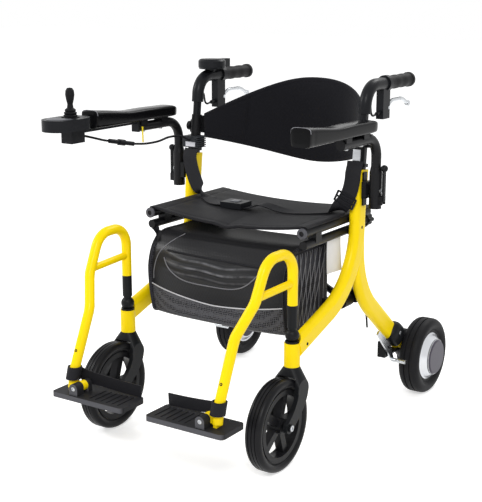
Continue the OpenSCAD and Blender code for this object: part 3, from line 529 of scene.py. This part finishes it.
def tube(name, path, radius, sides=10):
    """Round cord mesh along a path, with closed ends."""
    deselect()
    bpy.ops.curve.primitive_nurbs_path_add()
    made = named(name)
    made.data.splines.clear()
    line = made.data.splines.new("POLY")
    line.points.add(len(path) - 1)
    for point, place in zip(line.points, path):
        point.co = (*place, 1)
    made.data.bevel_depth = radius
    made.data.bevel_resolution = sides // 2 - 2
    made.data.use_fill_caps = True
    made.location = (0, 0, 0)
    bpy.ops.object.convert(target="MESH")
    made = bpy.context.object
    made.data.name = name
    return tidy(made, 60)


def joined(name, parts):
    deselect()
    for part in parts:
        part.select_set(True)
    bpy.context.view_layer.objects.active = parts[0]
    bpy.ops.object.join()
    return named(name)


def screw_head(name, place, way, radius, height):
    """Domed screw head with a sunk middle, standing on place and pointing along way."""
    rim, socket, dome, sunk = radius * 0.22, radius * 0.28, height * 0.25, height * 0.7
    deselect()
    bpy.ops.mesh.primitive_cylinder_add(vertices=24, radius=radius, depth=height, location=(0, 0, height / 2))
    made = named(name)
    bpy.ops.object.mode_set(mode="EDIT")
    bpy.ops.mesh.select_all(action="DESELECT")
    bpy.ops.object.mode_set(mode="OBJECT")
    for face in made.data.polygons:
        face.select = face.normal.z > 0.9
    bpy.ops.object.mode_set(mode="EDIT")
    bpy.ops.mesh.inset(thickness=rim)
    bpy.ops.transform.translate(value=(0, 0, dome))
    bpy.ops.mesh.inset(thickness=socket)
    bpy.ops.mesh.extrude_region_move(TRANSFORM_OT_translate={"value": (0, 0, -sunk)})
    bpy.ops.object.mode_set(mode="OBJECT")
    made.rotation_mode = "QUATERNION"
    made.rotation_quaternion = Vector(way).to_track_quat("Z", "Y")
    made.location = place
    return tidy(made)


def plate(name, low, high, edge):
    """Thin plate between two corners with rounded edges."""
    deselect()
    bpy.ops.mesh.primitive_cube_add(size=1, location=(low + high) / 2)
    made = named(name)
    made.scale = high - low
    bpy.ops.object.transform_apply()
    applied(made, "BEVEL", width=edge, segments=3)
    return tidy(made)


def lean_back(obj):
    """Leans a piece drawn upright back with the posts."""
    turn, pivot = math.radians(6), at(0, 77, 502)
    c, k = math.cos(turn), math.sin(turn)
    for vertex in obj.data.vertices:
        d = vertex.co - pivot
        vertex.co = pivot + Vector((d.x, d.y * c + d.z * k, d.z * c - d.y * k))
    return obj


def disc(name, middle, radius, height, oval=1.0, cut=None):
    """Low round boss with a bevelled rim; oval stretches it along Y and cut flattens its rear."""
    deselect()
    bpy.ops.mesh.primitive_cylinder_add(vertices=64, radius=radius, depth=height, location=(0, 0, 0))
    made = named(name)
    for vertex in made.data.vertices:
        y = vertex.co.y * oval
        vertex.co.y = min(y, cut) if cut is not None else y
    made.location = middle
    bpy.ops.object.transform_apply()
    applied(made, "BEVEL", width=height * 0.4, segments=2, limit_method="ANGLE")
    return tidy(made)


def clamped(value):
    return max(0, min(1, value))


def ridge(distance, width):
    """Smooth ridge, 1 high at no distance."""
    return math.exp(-(distance / width) ** 2)


# Forms shared with the drawing, in millimetres


def sling_dz(x, v):
    """Sag of the seat cloth, deeper at the front, with a crease at the front's middle."""
    u = abs(x) / SEAT_X
    deep = (1 - v) ** 4
    return -(sizes().sling_sag * 1000 + 7 * deep) * (1 - u * u) - 6 * deep * max(0, 1 - 6 * u)


def sling_top(x, y):
    """Height of the seat cloth's upper face."""
    thickness = sizes().sling_thickness * 1000
    return SEAT_Z + SEAT_R + thickness + sling_dz(x, (y - SEAT_FRONT) / SEAT_LONG)


def back_y(x):
    return BACK_FRONT + BACK_DEEP * (1 - min(1, abs(x) / BACK_HALF) ** 3)


def bag_front(z):
    """Fore-aft place of the bag's front at a height."""
    for (z0, y0), (z1, y1) in zip(BAG_FRONT, BAG_FRONT[1:]):
        if z <= z1:
            return y0 + (y1 - y0) * max(0, z - z0) / (z1 - z0)
    return BAG_FRONT[-1][1]


class CHAIR_OT_finishes(bpy.types.Operator):
    """Gives every rigid piece of the frame its finish"""
    bl_idname = "chair.finishes"
    bl_label = "Frame finishes"

    def execute(self, context):
        FINISH.update(build_finishes())
        for name, obj in frame["nodes"].items():
            key = name if name in CAD_FINISH else name[:-2]
            if key in CAD_FINISH:
                paint(obj, CAD_FINISH[key])
        return {"FINISHED"}


class CHAIR_OT_cables(bpy.types.Operator):
    """Joystick cable: a short lead to the connector and a run back to the controller"""
    bl_idname = "chair.cables"
    bl_label = "Joystick cable"

    def execute(self, context):
        radius = sizes().cable_diameter / 2
        lead = smooth_path([at(*p) for p in (
            (-272, -279.5, 677), (-271, -262, 674), (-269, -235, 667), (-265, -205, 658.5),
            (-263, -188, 655))], 6)
        run = smooth_path([at(*p) for p in (
            (-255, -112, 640), (-251, -72, 636), (-246, -31, 637), (-242, 6, 643), (-233.5, 40, 642),
            (-221, 60.4, 630))], 6)
        front = tube("cable_lead", lead, radius)
        dress(front, "armrest_r", "cable", "grip_rubber")
        back = tube("cable_run", run, radius)
        span(back, "cable", "grip_rubber", ("armrest_r", "frame_r"), at(-245, -31, 637), at(-221, 60.4, 630))
        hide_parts("joystick_cable")
        return {"FINISHED"}


class CHAIR_OT_seat(bpy.types.Operator):
    """Seat sling: hemmed cloth between the seat tubes, sagging, with a crease at its front"""
    bl_idname = "chair.seat"
    bl_label = "Seat sling"

    flat = 0.95  # share of the half width that lies between the tubes
    wrap = 38  # degrees that each side goes round its tube

    def place(self, u, v):
        """Point of the cloth, u from -1 to 1 across and v from 0 to 1 from the front."""
        y = SEAT_FRONT + v * SEAT_LONG
        if abs(u) > self.flat:
            turn = math.radians(90 + (abs(u) - self.flat) / 0.05 * self.wrap)
            x = math.copysign(1, u) * (SEAT_X - SEAT_R * math.cos(turn))
            return at(x, y, SEAT_Z + SEAT_R * math.sin(turn))
        x = u / self.flat * SEAT_X
        seam = 1.1 * (ridge(abs(x) - 176, 2.2) + ridge(v - 0.05, 0.008))
        pull = 0.5 * math.sin(y / 9 + abs(x) / 23) * (abs(x) / SEAT_X) ** 3
        return at(x, y, SEAT_Z + SEAT_R + sling_dz(x, v) - seam * (abs(x) < 198) + pull * (abs(x) < 190))

    def execute(self, context):
        deselect()
        bpy.ops.mesh.primitive_grid_add(x_subdivisions=120, y_subdivisions=72, size=2)
        made = named("seat_cloth")
        for vertex in made.data.vertices:
            vertex.co = self.place(vertex.co.x, (vertex.co.y + 1) / 2)
        applied(made, "SOLIDIFY", thickness=sizes().sling_thickness, offset=1)
        tidy(made, 50)
        fold = ("brace_b", "brace_a"), at(-190, 30, 480), at(190, 30, 480)
        span(made, "seat", "fabric", *fold)
        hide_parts("seat_sling")
        roll = [at(x, SEAT_FRONT + 3, SEAT_Z + SEAT_R + 1.2 + sling_dz(x, 0.01)) for x in range(-196, 197, 8)]
        hem = tube("seat_front_hem", smooth_path(roll, 2), 0.0034, 12)
        span(hem, "webbing", "fabric", *fold)
        for name, x, body in (("seat_cap_l", SEAT_X, "brace_a"), ("seat_cap_r", -SEAT_X, "brace_b")):
            cap = screw_head(name, at(x, -122.5, SEAT_Z), (0, -1, 0), 0.0116, 0.004)
            dress(cap, body, "cap", "caster_rubber")
        return {"FINISHED"}


class CHAIR_OT_backrest(bpy.types.Operator):
    """Backrest: one deeply curved padded band, with bound edges and a fold in its wing"""
    bl_idname = "chair.backrest"
    bl_label = "Backrest"

    top, top_drop = 775, 83  # height at the middle, and what the ends lose
    bottom, bottom_rise = 569, 66
    fold_x, fold_out = -151, 5.5  # place of the fold and how far it stands out
    binding = 11  # width of the bound edge

    def section(self, k, turn):
        """Point of the cross-section at k, from -1 to 1 along the band."""
        x = k * BACK_HALF
        high = self.top - self.top_drop * abs(k) ** 2.2
        low = self.bottom + self.bottom_rise * k * k
        thick = sizes().back_thickness * 1000 * (1 - 0.6 * abs(k) ** 8)
        r = thick / 2
        # Stadium: rear side up, top edge, front side down, lower edge
        if turn < 0.4:
            z, off = low + r + (high - low - 2 * r) * turn / 0.4, thick
        elif turn < 0.5:
            a = (turn - 0.4) / 0.1 * math.pi
            z, off = high - r + r * math.sin(a), r + r * math.cos(a)
        elif turn < 0.9:
            z, off = high - r - (high - low - 2 * r) * (turn - 0.5) / 0.4, 0
        else:
            a = (turn - 0.9) / 0.1 * math.pi
            z, off = low + r - r * math.sin(a), r - r * math.cos(a)
        slope = back_y(x + 0.5) - back_y(x - 0.5)
        normal = Vector((-slope, 1)).normalized()
        share = (z - low) / (high - low)
        if 0.5 <= turn < 0.9:
            belly = math.sin(math.pi * share)
            off += self.fold_out * ridge(x - self.fold_x - 8 * (share - 0.5), 2.6) * belly ** 0.5
            off -= 1.2 * belly * (1 - k * k)
            off += 1.0 * ridge(min(z - low, high - z) - self.binding, 1.6)
        return at(x + normal.x * off, back_y(x) + normal.y * off, z)

    def execute(self, context):
        along = 210

        def place(ring, turn):
            k = -1 + 2 * (min(max(ring, 1), along - 1) - 1) / (along - 2)
            return self.section(math.sin(k * math.pi / 2), turn)

        made = loft("backrest_band", 160, along, place)
        tidy(made, 60)
        dress(made, "frame_r", "back", "fabric")
        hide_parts("backrest")
        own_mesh(made)
        return {"FINISHED"}


class CHAIR_OT_bag(bpy.types.Operator):
    """Under-seat bag: bulged front with a bowl pocket, pale piping, mesh below and netted ends"""
    bl_idname = "chair.bag"
    bl_label = "Under-seat bag"

    half = 184.5  # half the bag's width
    edge = 6  # rounding of its ends
    around, along, caps = 320, 90, 10  # points round it, rings along it and rings in each end
    cloths = ("bag", "pocket", "mesh", "net")
    pocket_x, pocket_half = -10, 128
    pocket_low, pocket_rise = 351, 46

    def outline(self):
        """Side outline as [y, z], its corners cut twice."""
        points = [Vector(p) for p in [(32, 262), (-40, 259), (-110, 256)] + [(y, z) for z, y in BAG_FRONT[1:]]
                  + [(-30, 450), (32, 452), (32, 360)]]
        for _ in range(2):
            cut = []
            for a, b in zip(points, points[1:] + points[:1]):
                cut += [a * 0.8 + b * 0.2, a * 0.2 + b * 0.8]
            points = cut
        return points

    def shell(self):
        """The bag's skin, with the painted highlights on its creases stored on it as "crease"."""
        side = self.outline()
        lengths = [(b - a).length for a, b in zip(side, side[1:] + side[:1])]
        total = sum(lengths)
        middle = Vector((-62, 352))

        def on_outline(turn):
            far = turn * total
            for i, step in enumerate(lengths):
                if far <= step:
                    return side[i].lerp(side[(i + 1) % len(side)], far / step)
                far -= step
            return side[0]

        def place(ring, turn):
            p = on_outline(turn)
            i = min(ring, self.along - ring)
            if i <= self.caps:
                grow = i / self.caps
                q = middle.lerp(p, grow * 0.985)
                k = -1 if ring < self.along / 2 else 1
                return at(k * (self.half - self.edge * grow ** 6 - 5 * (1 - grow) ** 2), q.x, q.y)
            far = (ring - self.caps) / (self.along - 2 * self.caps)
            x = (self.half - self.edge) * (2 * far - 1)
            slack = 1 - (abs(x) / self.half) ** 2
            front = clamped((-60 - p.x) / 60)
            fold = self.bowl(x, p.y) * (1.9 * self.crease(x, p.y) + 3)
            sag = 3 * slack * clamped((290 - p.y) / 40)
            top = 4 * slack * clamped((p.y - 440) / 8)
            return at(x, p.x + (self.set_back(x) - fold) * front, p.y - sag - top)

        made = tidy(loft("bag_shell", self.around, self.along, place), 50)
        # Painted highlights: the crests of the pocket's creases, where the cloth is painted pale
        crease_highlight = made.data.attributes.new("crease", "FLOAT", "POINT")
        for vertex, mark in zip(made.data.vertices, crease_highlight.data):
            x, z = vertex.co.x * 1000, vertex.co.z * 1000 + FLOOR
            mark.value = self.bowl(x, z) * max(0, self.crease(x, z)) ** 3
        return made

    def execute(self, context):
        made = self.shell()
        for key in self.cloths:
            made.data.materials.append(FINISH[key])
        for face in made.data.polygons:
            c, n = face.center * 1000 + Vector((0, 0, FLOOR)), face.normal
            if abs(n.x) > 0.75:
                face.material_index = self.cloths.index("net")
            elif n.y < -0.4 and 264 < c.z < self.piping(c.x) - 3:
                face.material_index = self.cloths.index("mesh")
            elif n.y < -0.3 and self.in_pocket(c.x, c.z):
                face.material_index = self.cloths.index("pocket")
        for part in (*self.trim(), made):
            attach(part, "frame_r")
            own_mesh(part)
        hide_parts("bag")
        return {"FINISHED"}

    def piping(self, x):
        """Height of the pale piping line."""
        return 307 + 29 * max(0, -x / 190) ** 1.6 + 22 * max(0, x / 184) ** 1.6

    def in_pocket(self, x, z):
        u = (x - self.pocket_x) / self.pocket_half
        return abs(u) < 1 and self.pocket_low + self.pocket_rise * u ** 4 < z < 412

    def bowl(self, x, z):
        """How full the pocket is at a place on the front."""
        return ridge(z - 386, 22) * max(0, 1 - ((x - self.pocket_x) / 132) ** 4)

    def crease(self, x, z):
        """Wave of the creases that hang across the pocket."""
        hang = 10 * ((x - self.pocket_x) / self.pocket_half) ** 2
        return math.sin((z - hang) / 2.5 + 0.9 * math.sin(x / 41) + 0.5 * math.sin(x / 17))

    def set_back(self, x):
        """How far the front curves back towards the bag's ends."""
        return 12 * (abs(x) / self.half) ** 5

    def on_front(self, name, points, lift, steps, radius, finish):
        """Cord on the bag's front, along points given sideways and in height."""
        path = [at(x, bag_front(z) + self.set_back(x) - lift, z) for x, z in points]
        return paint(tube(name, smooth_path(path, steps), radius), finish)

    def net(self, name, k):
        """Crossing cords over one end."""
        cords = []
        for i in range(7):
            top, low = -112 + 21 * i, -128 + 17 * i
            for a, b in ((top, low - 24), (top - 10, low + 26)):
                a, b = max(-118, min(20, a)), max(-140, min(20, b))
                path = [at(k * (self.half + 0.4), a + (b - a) * t / 4, 436 - 158 * t / 4) for t in range(5)]
                cords.append(tube("net_cord", path, 0.0008, 8))
        return paint(joined(name, cords), "edging")

    def trim(self):
        bends = [math.sin(a * math.pi / 24) for a in range(-12, 13)]
        rim = [(self.pocket_x + self.pocket_half * s, self.pocket_low + self.pocket_rise * s ** 4)
               for s in bends]
        line = [(x, self.piping(x)) for x in range(-180, 181, 12)]
        mouth = [(x, 414 - 6 * (x + 138) / 256) for x in range(-132, 119, 10)]
        flap = [(-109, 448), (-136, 428), (-157, 403), (-165, 371), (-168, 345)]
        parts = [
            self.on_front("bag_piping", line, 0.6, 3, 0.0015, "piping"),
            self.on_front("bag_pocket_rim", rim, 1.2, 3, 0.0013, "edging"),
            self.on_front("bag_pocket_mouth", mouth, 1.2, 2, 0.0022, "webbing"),
            self.on_front("bag_flap_edge", flap, 0.4, 6, 0.0011, "edging"),
        ]
        for name, k in SIDES:
            corner = [at(k * 181, y + 9, z) for z, y in [(275, -152)] + BAG_FRONT[2:7]]
            bound = tube("bag_binding_" + name, smooth_path(corner, 5), 0.003)
            hung = [at(k * x, y, z) for x, y, z in (
                (196, -112, 452), (190, -117, 449), (182, -123, 440), (176, -134, 426))]
            hanger = strap("bag_hanger_" + name, hung, Vector((0.4 * k, 0.8, 0.4)), 0.016, 0.0016)
            parts += [paint(bound, "webbing"), self.net("bag_net_" + name, k), paint(hanger, "webbing")]
        return parts


class CHAIR_OT_pads(bpy.types.Operator):
    """Armrest pads: crowned polyurethane with a square front and a piped front seam, painted pale grey as a
    highlight
    """
    bl_idname = "chair.pads"
    bl_label = "Armrest pads"

    along = 64
    # Rings that close the front, as place along the pad and share of the size, and shares at the rear
    front_rings = ((0.0005, 0), (0.0005, 0.5), (0.001, 0.9), (0.006, 1))
    rear_rings = (0, 0.5, 0.85, 1)

    def rounding(self, t):
        """Share of the full size in the rounded rear end."""
        return math.sqrt(max(0, 1 - ((t - 0.9) / 0.1) ** 2)) if t > 0.9 else 1

    def height(self, t):
        dip = 3.4 * ridge(t - 0.4, 0.17)
        return (39 * (1 - 0.33 * t * (2 - t)) - dip) * (0.6 + 0.4 * self.rounding(t))

    def ring(self, t, turn, shrink, side):
        """Point of the rounded cross-section at t, from 0 at the front; the base is flat."""
        a = turn * math.tau
        c, s = math.cos(a), math.sin(a)
        squareness = 0.32
        x = math.copysign(abs(c) ** squareness, c)
        z = 0.5 + 0.5 * math.copysign(abs(s) ** squareness, s)
        crown = 1 + 0.05 * (1 - x * x) * (z > 0.5)
        tuck = 1 - 0.07 * (1 - z) ** 2
        width = PAD_HALF * (0.4 + 0.6 * self.rounding(t)) * tuck * shrink
        z = 0.5 + (z - 0.5) * shrink
        return at(side * PAD_X + x * width, PAD_REAR - PAD_LONG * (1 - t),
                  PAD_BASE + z * self.height(t) * crown * 0.97)

    def execute(self, context):
        for name, side in SIDES:
            def place(ring, turn):
                if ring < 4:
                    t, shrink = self.front_rings[ring]
                    return self.ring(t, turn, shrink * 0.985, side)
                if ring > self.along - 4:
                    return self.ring(0.999, turn, self.rear_rings[self.along - ring], side)
                t = 0.012 + 0.985 * (ring - 4) / (self.along - 8)
                return self.ring(t, turn, 1 - 0.02 * ridge(t - 0.062, 0.005), side)

            pad = tidy(loft("armrest_pad_skin_" + name, 72, self.along, place), 40)
            dress(pad, "armrest_" + name, "skin", "pad_skin")
            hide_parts("armrest_pad_" + name)
            # The seam cord is real; its pale grey colour is a painted highlight along the front edges
            seam = [self.ring(0.012, 0.02 + i / 60, 1.0, side) for i in range(29)]
            dress(tube("armrest_pad_seam_" + name, seam, 0.0009, 8), "armrest_" + name, "seam_highlight", "pad_skin")
        return {"FINISHED"}


class CHAIR_OT_belts(bpy.types.Operator):
    """Lap belt: webbing from both posts to the buckle, with a slider and the buckle's button"""
    bl_idname = "chair.belts"
    bl_label = "Lap belt"

    thickness = 0.002  # of the webbing, in metres
    # From the post down to the seat; the right belt slants inwards
    left_drop = ((221.4, 69.4, 618), (221.7, 66.6, 608), (221.8, 60.4, 594), (221.5, 57.4, 575),
                 (218, 54, 553), (210, 50.6, 533), (200, 48.6, 518.5), (189, 51, 510))
    right_drop = ((-221.6, 67.4, 610), (-221.8, 60.4, 594), (-217, 57, 575), (-209, 54, 555),
                  (-198, 51, 535), (-186.5, 49, 519.5), (-176, 50, 511))
    # Across the seat, as x, y and the height above the cloth
    left_seat = ((176, 54.5, 4.4), (157, 53, 3), (120, 44, 2), (77, 38, 2), (45, 34, 7), (18, 31, 14),
                 (0, 28, 15), (-14, 22, 9), (-30.5, 22, 5.5))
    right_seat = ((-164, 48, 4.6), (-150, 41, 3.6), (-132, 28, 2.6), (-112, 20, 3.5), (-92.5, 20, 5.5))
    # Direction of the webbing's width as it turns from the post to the seat
    turn = ((1, 0, 0), (1, 0, 0), (1, 0, 0), (0.97, 0, -0.22), (0.92, 0.16, -0.35), (0.45, 0.85, -0.2))

    def path(self, drop, seat):
        return [at(*q) for q in drop] + [at(x, y, sling_top(x, y) + h) for x, y, h in seat]

    def slider(self, way, side, middle):
        """Three bars between two cheeks."""
        bars = []
        for i in (-1, 0, 1):
            c = middle + way * 0.011 * i
            bars.append(tube("slider_bar", [c - side * 0.024, c, c + side * 0.024], 0.0022))
        for k in (-1, 1):
            c = middle + side * 0.024 * k
            bars.append(tube("slider_cheek", [c - way * 0.012, c, c + way * 0.012], 0.0026))
        return joined("belt_slider", bars)

    def execute(self, context):
        width = sizes().belt_width
        flat, along = Vector((1, 0, 0)), Vector((0, 1, 0))
        turn = [Vector(d) for d in self.turn]
        left = self.path(self.left_drop, self.left_seat)
        left_turn = [flat] * 2 + turn + [along] * len(self.left_seat)
        made = strap("belt_webbing_l", left, left_turn, width, self.thickness)
        dress(made, "frame_l", "webbing", "webbing")
        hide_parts("belt_l")
        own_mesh(made)
        right = self.path(self.right_drop, self.right_seat)
        right_turn = [flat] + [Vector((d.x, -d.y, -d.z)) for d in turn] + [-along] * len(self.right_seat)
        made = strap("belt_webbing_r", right, right_turn, width, self.thickness)
        dress(made, "frame_r", "webbing", "webbing")
        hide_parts("belt_r")
        # The slider sits on the webbing below the left post
        way = (left[5] - left[4]).normalized()
        side = (turn[3] - way * turn[3].dot(way)).normalized()
        face = way.cross(side)
        middle = left[5] + face * (0.0028 if face.y < 0 else -0.0028)
        dress(self.slider(way, side, middle), "frame_l", "abs", "dark_plastic")
        # The anchor plate carries the belt's end on the upright
        anchor = lean_back(plate("belt_anchor", at(212, 61.1, 612), at(231, 63.2, 642), 0.0009))
        dress(anchor, "frame_l", "zinc", "bright_steel")
        top = sling_top(-90, 40) + 14.6
        button = plate("buckle_button", at(-72.5, 9, top - 2), at(-50.5, 31, top + 1.6), 0.0022)
        dress(button, "frame_r", "panel", "dark_plastic")
        return {"FINISHED"}


class CHAIR_OT_heel_straps(bpy.types.Operator):
    """Heel straps: a hook-and-loop collar on each footrest tube and a strap to the plate's rear corner"""
    bl_idname = "chair.heel_straps"
    bl_label = "Heel straps"

    lean = 0.3  # rearward lean of the footrest tube, for each unit of height
    route = ((190, -396, 187), (170, -391.5, 180), (150, -387, 176), (104, -380, 170), (66, -376.5, 167),
             (36, -374, 165.4))

    def execute(self, context):
        for name, side in SIDES:
            middle = at(side * HANGER_X, -412.5, 190)
            deselect()
            bpy.ops.mesh.primitive_cylinder_add(
                vertices=40, radius=0.0125, depth=0.026, end_fill_type="NOTHING")
            collar = named("heel_collar_" + name)
            for vertex in collar.data.vertices:
                x, y, z = vertex.co
                vertex.co = middle + Vector((x, y + z * self.lean, z))
            applied(collar, "SUBSURF", levels=1, render_levels=1, subdivision_type="SIMPLE")
            applied(collar, "SOLIDIFY", thickness=0.0034, offset=1)
            dress(tidy(collar, 50), "hanger_" + name, "webbing", "webbing")
            points = [at(side * x, y, z) for x, y, z in self.route]
            made = strap("heel_strap_" + name, points, Vector((0, 0, 1)), sizes().strap_width, 0.0024)
            span(made, "webbing", "webbing", ("hanger_" + name, "footplate_" + name), points[1], points[3])
            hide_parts("heel_band_" + name)
        return {"FINISHED"}


class CHAIR_OT_fittings(bpy.types.Operator):
    """Screw heads, snap buttons, leg covers and bare plates on the rigid pieces"""
    bl_idname = "chair.fittings"
    bl_label = "Fittings"

    def shroud(self, name, side):
        """Rounded cover over the rear leg's end, ahead of the wheel."""
        along, half_long, half_wide, half_high = 24, 34, 22, 27
        down_y, down_z = 0.777, 0.629  # the leg's slope

        def place(ring, turn):
            s = -math.cos(math.pi * ring / along)
            full = (1 - abs(s) ** 3) ** (1 / 3)
            c, k = math.cos(turn * math.tau), math.sin(turn * math.tau)
            # The outer side draws in beside the tyre
            wide = half_wide - 10 * clamped((s - 0.35) / 0.4) if c > 0 else half_wide
            x = wide * full * math.copysign(abs(c) ** 0.7, c)
            h = half_high * full * math.copysign(abs(k) ** 0.7, k)
            far = half_long * s
            return at(side * (230 + x), 274.3 + down_y * far + down_z * h, 168.6 - down_z * far + down_y * h)

        return tidy(loft(name, 48, along, place))

    def heads(self, name, spots, radius, height):
        """Screw heads on spots of place and direction, as one piece."""
        made = [screw_head(name, place, way, radius, height) for place, way in spots]
        return joined(name, made) if len(made) > 1 else made[0]

    def tag(self):
        """Blank cloth tag that hangs from the left rail."""
        deselect()
        bpy.ops.mesh.primitive_grid_add(x_subdivisions=16, y_subdivisions=20, size=2)
        made = named("bare_tag")
        for vertex in made.data.vertices:
            u, v = vertex.co.x, (vertex.co.y + 1) / 2
            bow = 2.2 * math.sin(u * 2.2) * (1 - v) + 3 * (1 - v) ** 2
            vertex.co = at(202.5 + bow, 14 + 30 * u, 376 + 74 * v)
        applied(made, "SOLIDIFY", thickness=0.0006, offset=0)
        return tidy(made, 60)

    def execute(self, context):
        screw, plug = ("zinc", "bright_steel"), ("nylon", "black_nylon")
        for name, side in SIDES:
            out = (side, 0, 0)
            for piece, body, looks, radius, height, spots in (
                    ("caster_axle_screws_", "caster_fork_", screw, 0.0066, 0.003,
                     [(at(side * (220 + 36 * k), -247, 106), (side * k, 0, 0)) for k in (-1, 1)]),
                    ("armrest_pivot_screw_", "frame_", screw, 0.0055, 0.0026,
                     [(at(side * 281, 79, 556), out)]),
                    ("pad_screws_", "armrest_", screw, 0.0045, 0.003,
                     [(at(side * PAD_X, y, 663.2), (0, 0, -1)) for y in (-60, 6)]),
                    ("footrest_snap_button_", "hanger_", plug, 0.0032, 0.0012,
                     [(at(side * HANGER_X, -404.1, 236.4), (0, -0.914, 0.406))]),
                    ("footplate_pin_cap_", "hanger_", screw, 0.0047, 0.0026,
                     [(at(side * 164, -442.9, 166), (0, -1, 0))]),
                    ("shroud_screw_", "frame_", screw, 0.005, 0.002, [(at(side * 251.4, 265, 176), out)]),
                    ("frame_plugs_", "frame_", plug, 0.0034, 0.0012,
                     [(at(side * 239, y, z), out) for y, z in ((-158, 262), (76, 470))])):
                dress(self.heads(piece + name, spots, radius, height), body + name, *looks)
            dress(self.shroud("leg_shroud_" + name, side), "frame_" + name, *plug)
        tag = dress(self.tag(), "frame_l", "tag", "fabric")
        panel = disc("joystick_panel", at(-PAD_X, -322, 719.4), 0.030, 0.0012, 1.72, -0.010)
        dress(panel, "armrest_r", "panel", "dark_plastic")
        screen = disc("display_glass", at(-211, 140, 819.3), 0.026, 0.0012)
        dress(screen, "handle_r", "skin", "dark_plastic")
        label = plate("controller_label", at(-235, 61.2, 615.6), at(-207, 62.4, 626.9), 0.0005)
        dress(label, "frame_r", "label", "grey_aluminium")
        return {"FINISHED"}


class CHAIR_OT_stage(bpy.types.Operator):
    """Pale floor, soft studio light and the camera"""
    bl_idname = "chair.stage"
    bl_label = "Stage"

    def seen(self, tree):
        """1 for the rays that show the background: from the camera, off gloss and through glass."""
        rays = add(tree, "ShaderNodeLightPath").outputs
        shown = rays["Is Camera Ray"]
        for kind in ("Is Glossy Ray", "Is Transmission Ray"):
            shown = add(tree, "ShaderNodeMath", {0: shown, 1: rays[kind]}, operation="MAXIMUM").outputs[0]
        return shown

    def execute(self, context):
        deselect()
        bpy.ops.object.camera_add(location=CAMERA_PLACE, rotation=(
            math.radians(90 - CAMERA_DOWN), 0, math.radians(CAMERA_TURN)))
        context.object.data.lens = CAMERA_LENS
        context.scene.camera = context.object
        bpy.ops.mesh.primitive_plane_add(size=30)
        floor = named("floor")
        made, tree, shader = surface("pale_studio_floor", 0.9, specular=0.1)
        shader.inputs["Base Color"].default_value = rgba(linear("#f4f4f4"))
        glow = add(tree, "ShaderNodeMath", {0: self.seen(tree), 1: FLOOR_GLOW}, operation="MULTIPLY")
        shader.inputs["Emission Color"].default_value = (1, 1, 1, 1)
        tree.links.new(glow.outputs[0], shader.inputs["Emission Strength"])
        floor.data.materials.append(made)
        world = bpy.data.worlds.new("studio")
        context.scene.world = world
        world.use_nodes = True
        tree = world.node_tree
        power = add(tree, "ShaderNodeMapRange", {"Value": self.seen(tree), "To Min": WORLD_LIGHT,
                                                 "To Max": 1.0})
        tree.links.new(power.outputs["Result"], tree.nodes["Background"].inputs["Strength"])
        tree.nodes["Background"].inputs["Color"].default_value = (1, 1, 1, 1)
        for place, size, watts in LAMPS:
            bpy.ops.object.light_add(type="AREA", location=place)
            lamp = context.object
            lamp.data.size = size
            lamp.data.energy = watts
            lamp.rotation_mode = "QUATERNION"
            lamp.rotation_quaternion = (LAMP_AIM - Vector(place)).to_track_quat("-Z", "Y")
        context.scene.view_settings.view_transform = "Standard"
        return {"FINISHED"}


class CHAIR_PT_panel(bpy.types.Panel):
    """Lists the chair's pieces"""
    bl_idname = "CHAIR_PT_panel"
    bl_label = "Rollator transport chair"
    bl_space_type = "VIEW_3D"
    bl_region_type = "UI"
    bl_category = "Chair"

    def draw(self, context):
        for group in (context.scene.chair_sizes, context.scene.chair_colours):
            for key in group.__annotations__:
                self.layout.prop(group, key)
        for operator in OPERATORS:
            self.layout.operator(operator.bl_idname)


OPERATORS = (CHAIR_OT_finishes, CHAIR_OT_stage, CHAIR_OT_cables, CHAIR_OT_seat, CHAIR_OT_backrest,
             CHAIR_OT_bag, CHAIR_OT_pads, CHAIR_OT_belts, CHAIR_OT_heel_straps, CHAIR_OT_fittings)
CLASSES = (ChairSizes, ChairColours, *OPERATORS, CHAIR_PT_panel)


def register():
    for kind in CLASSES:
        bpy.utils.register_class(kind)
    bpy.types.Scene.chair_sizes = bpy.props.PointerProperty(type=ChairSizes)
    bpy.types.Scene.chair_colours = bpy.props.PointerProperty(type=ChairColours)


def unregister():
    del bpy.types.Scene.chair_colours
    del bpy.types.Scene.chair_sizes
    for kind in reversed(CLASSES):
        bpy.utils.unregister_class(kind)


def main():
    register()
    bpy.ops.chair.finishes()
    bpy.ops.chair.stage()
    bpy.ops.chair.cables()
    bpy.ops.chair.seat()
    bpy.ops.chair.backrest()
    bpy.ops.chair.bag()
    bpy.ops.chair.pads()
    bpy.ops.chair.belts()
    bpy.ops.chair.heel_straps()
    bpy.ops.chair.fittings()
    deselect()


if __name__ == "__main__":
    main()
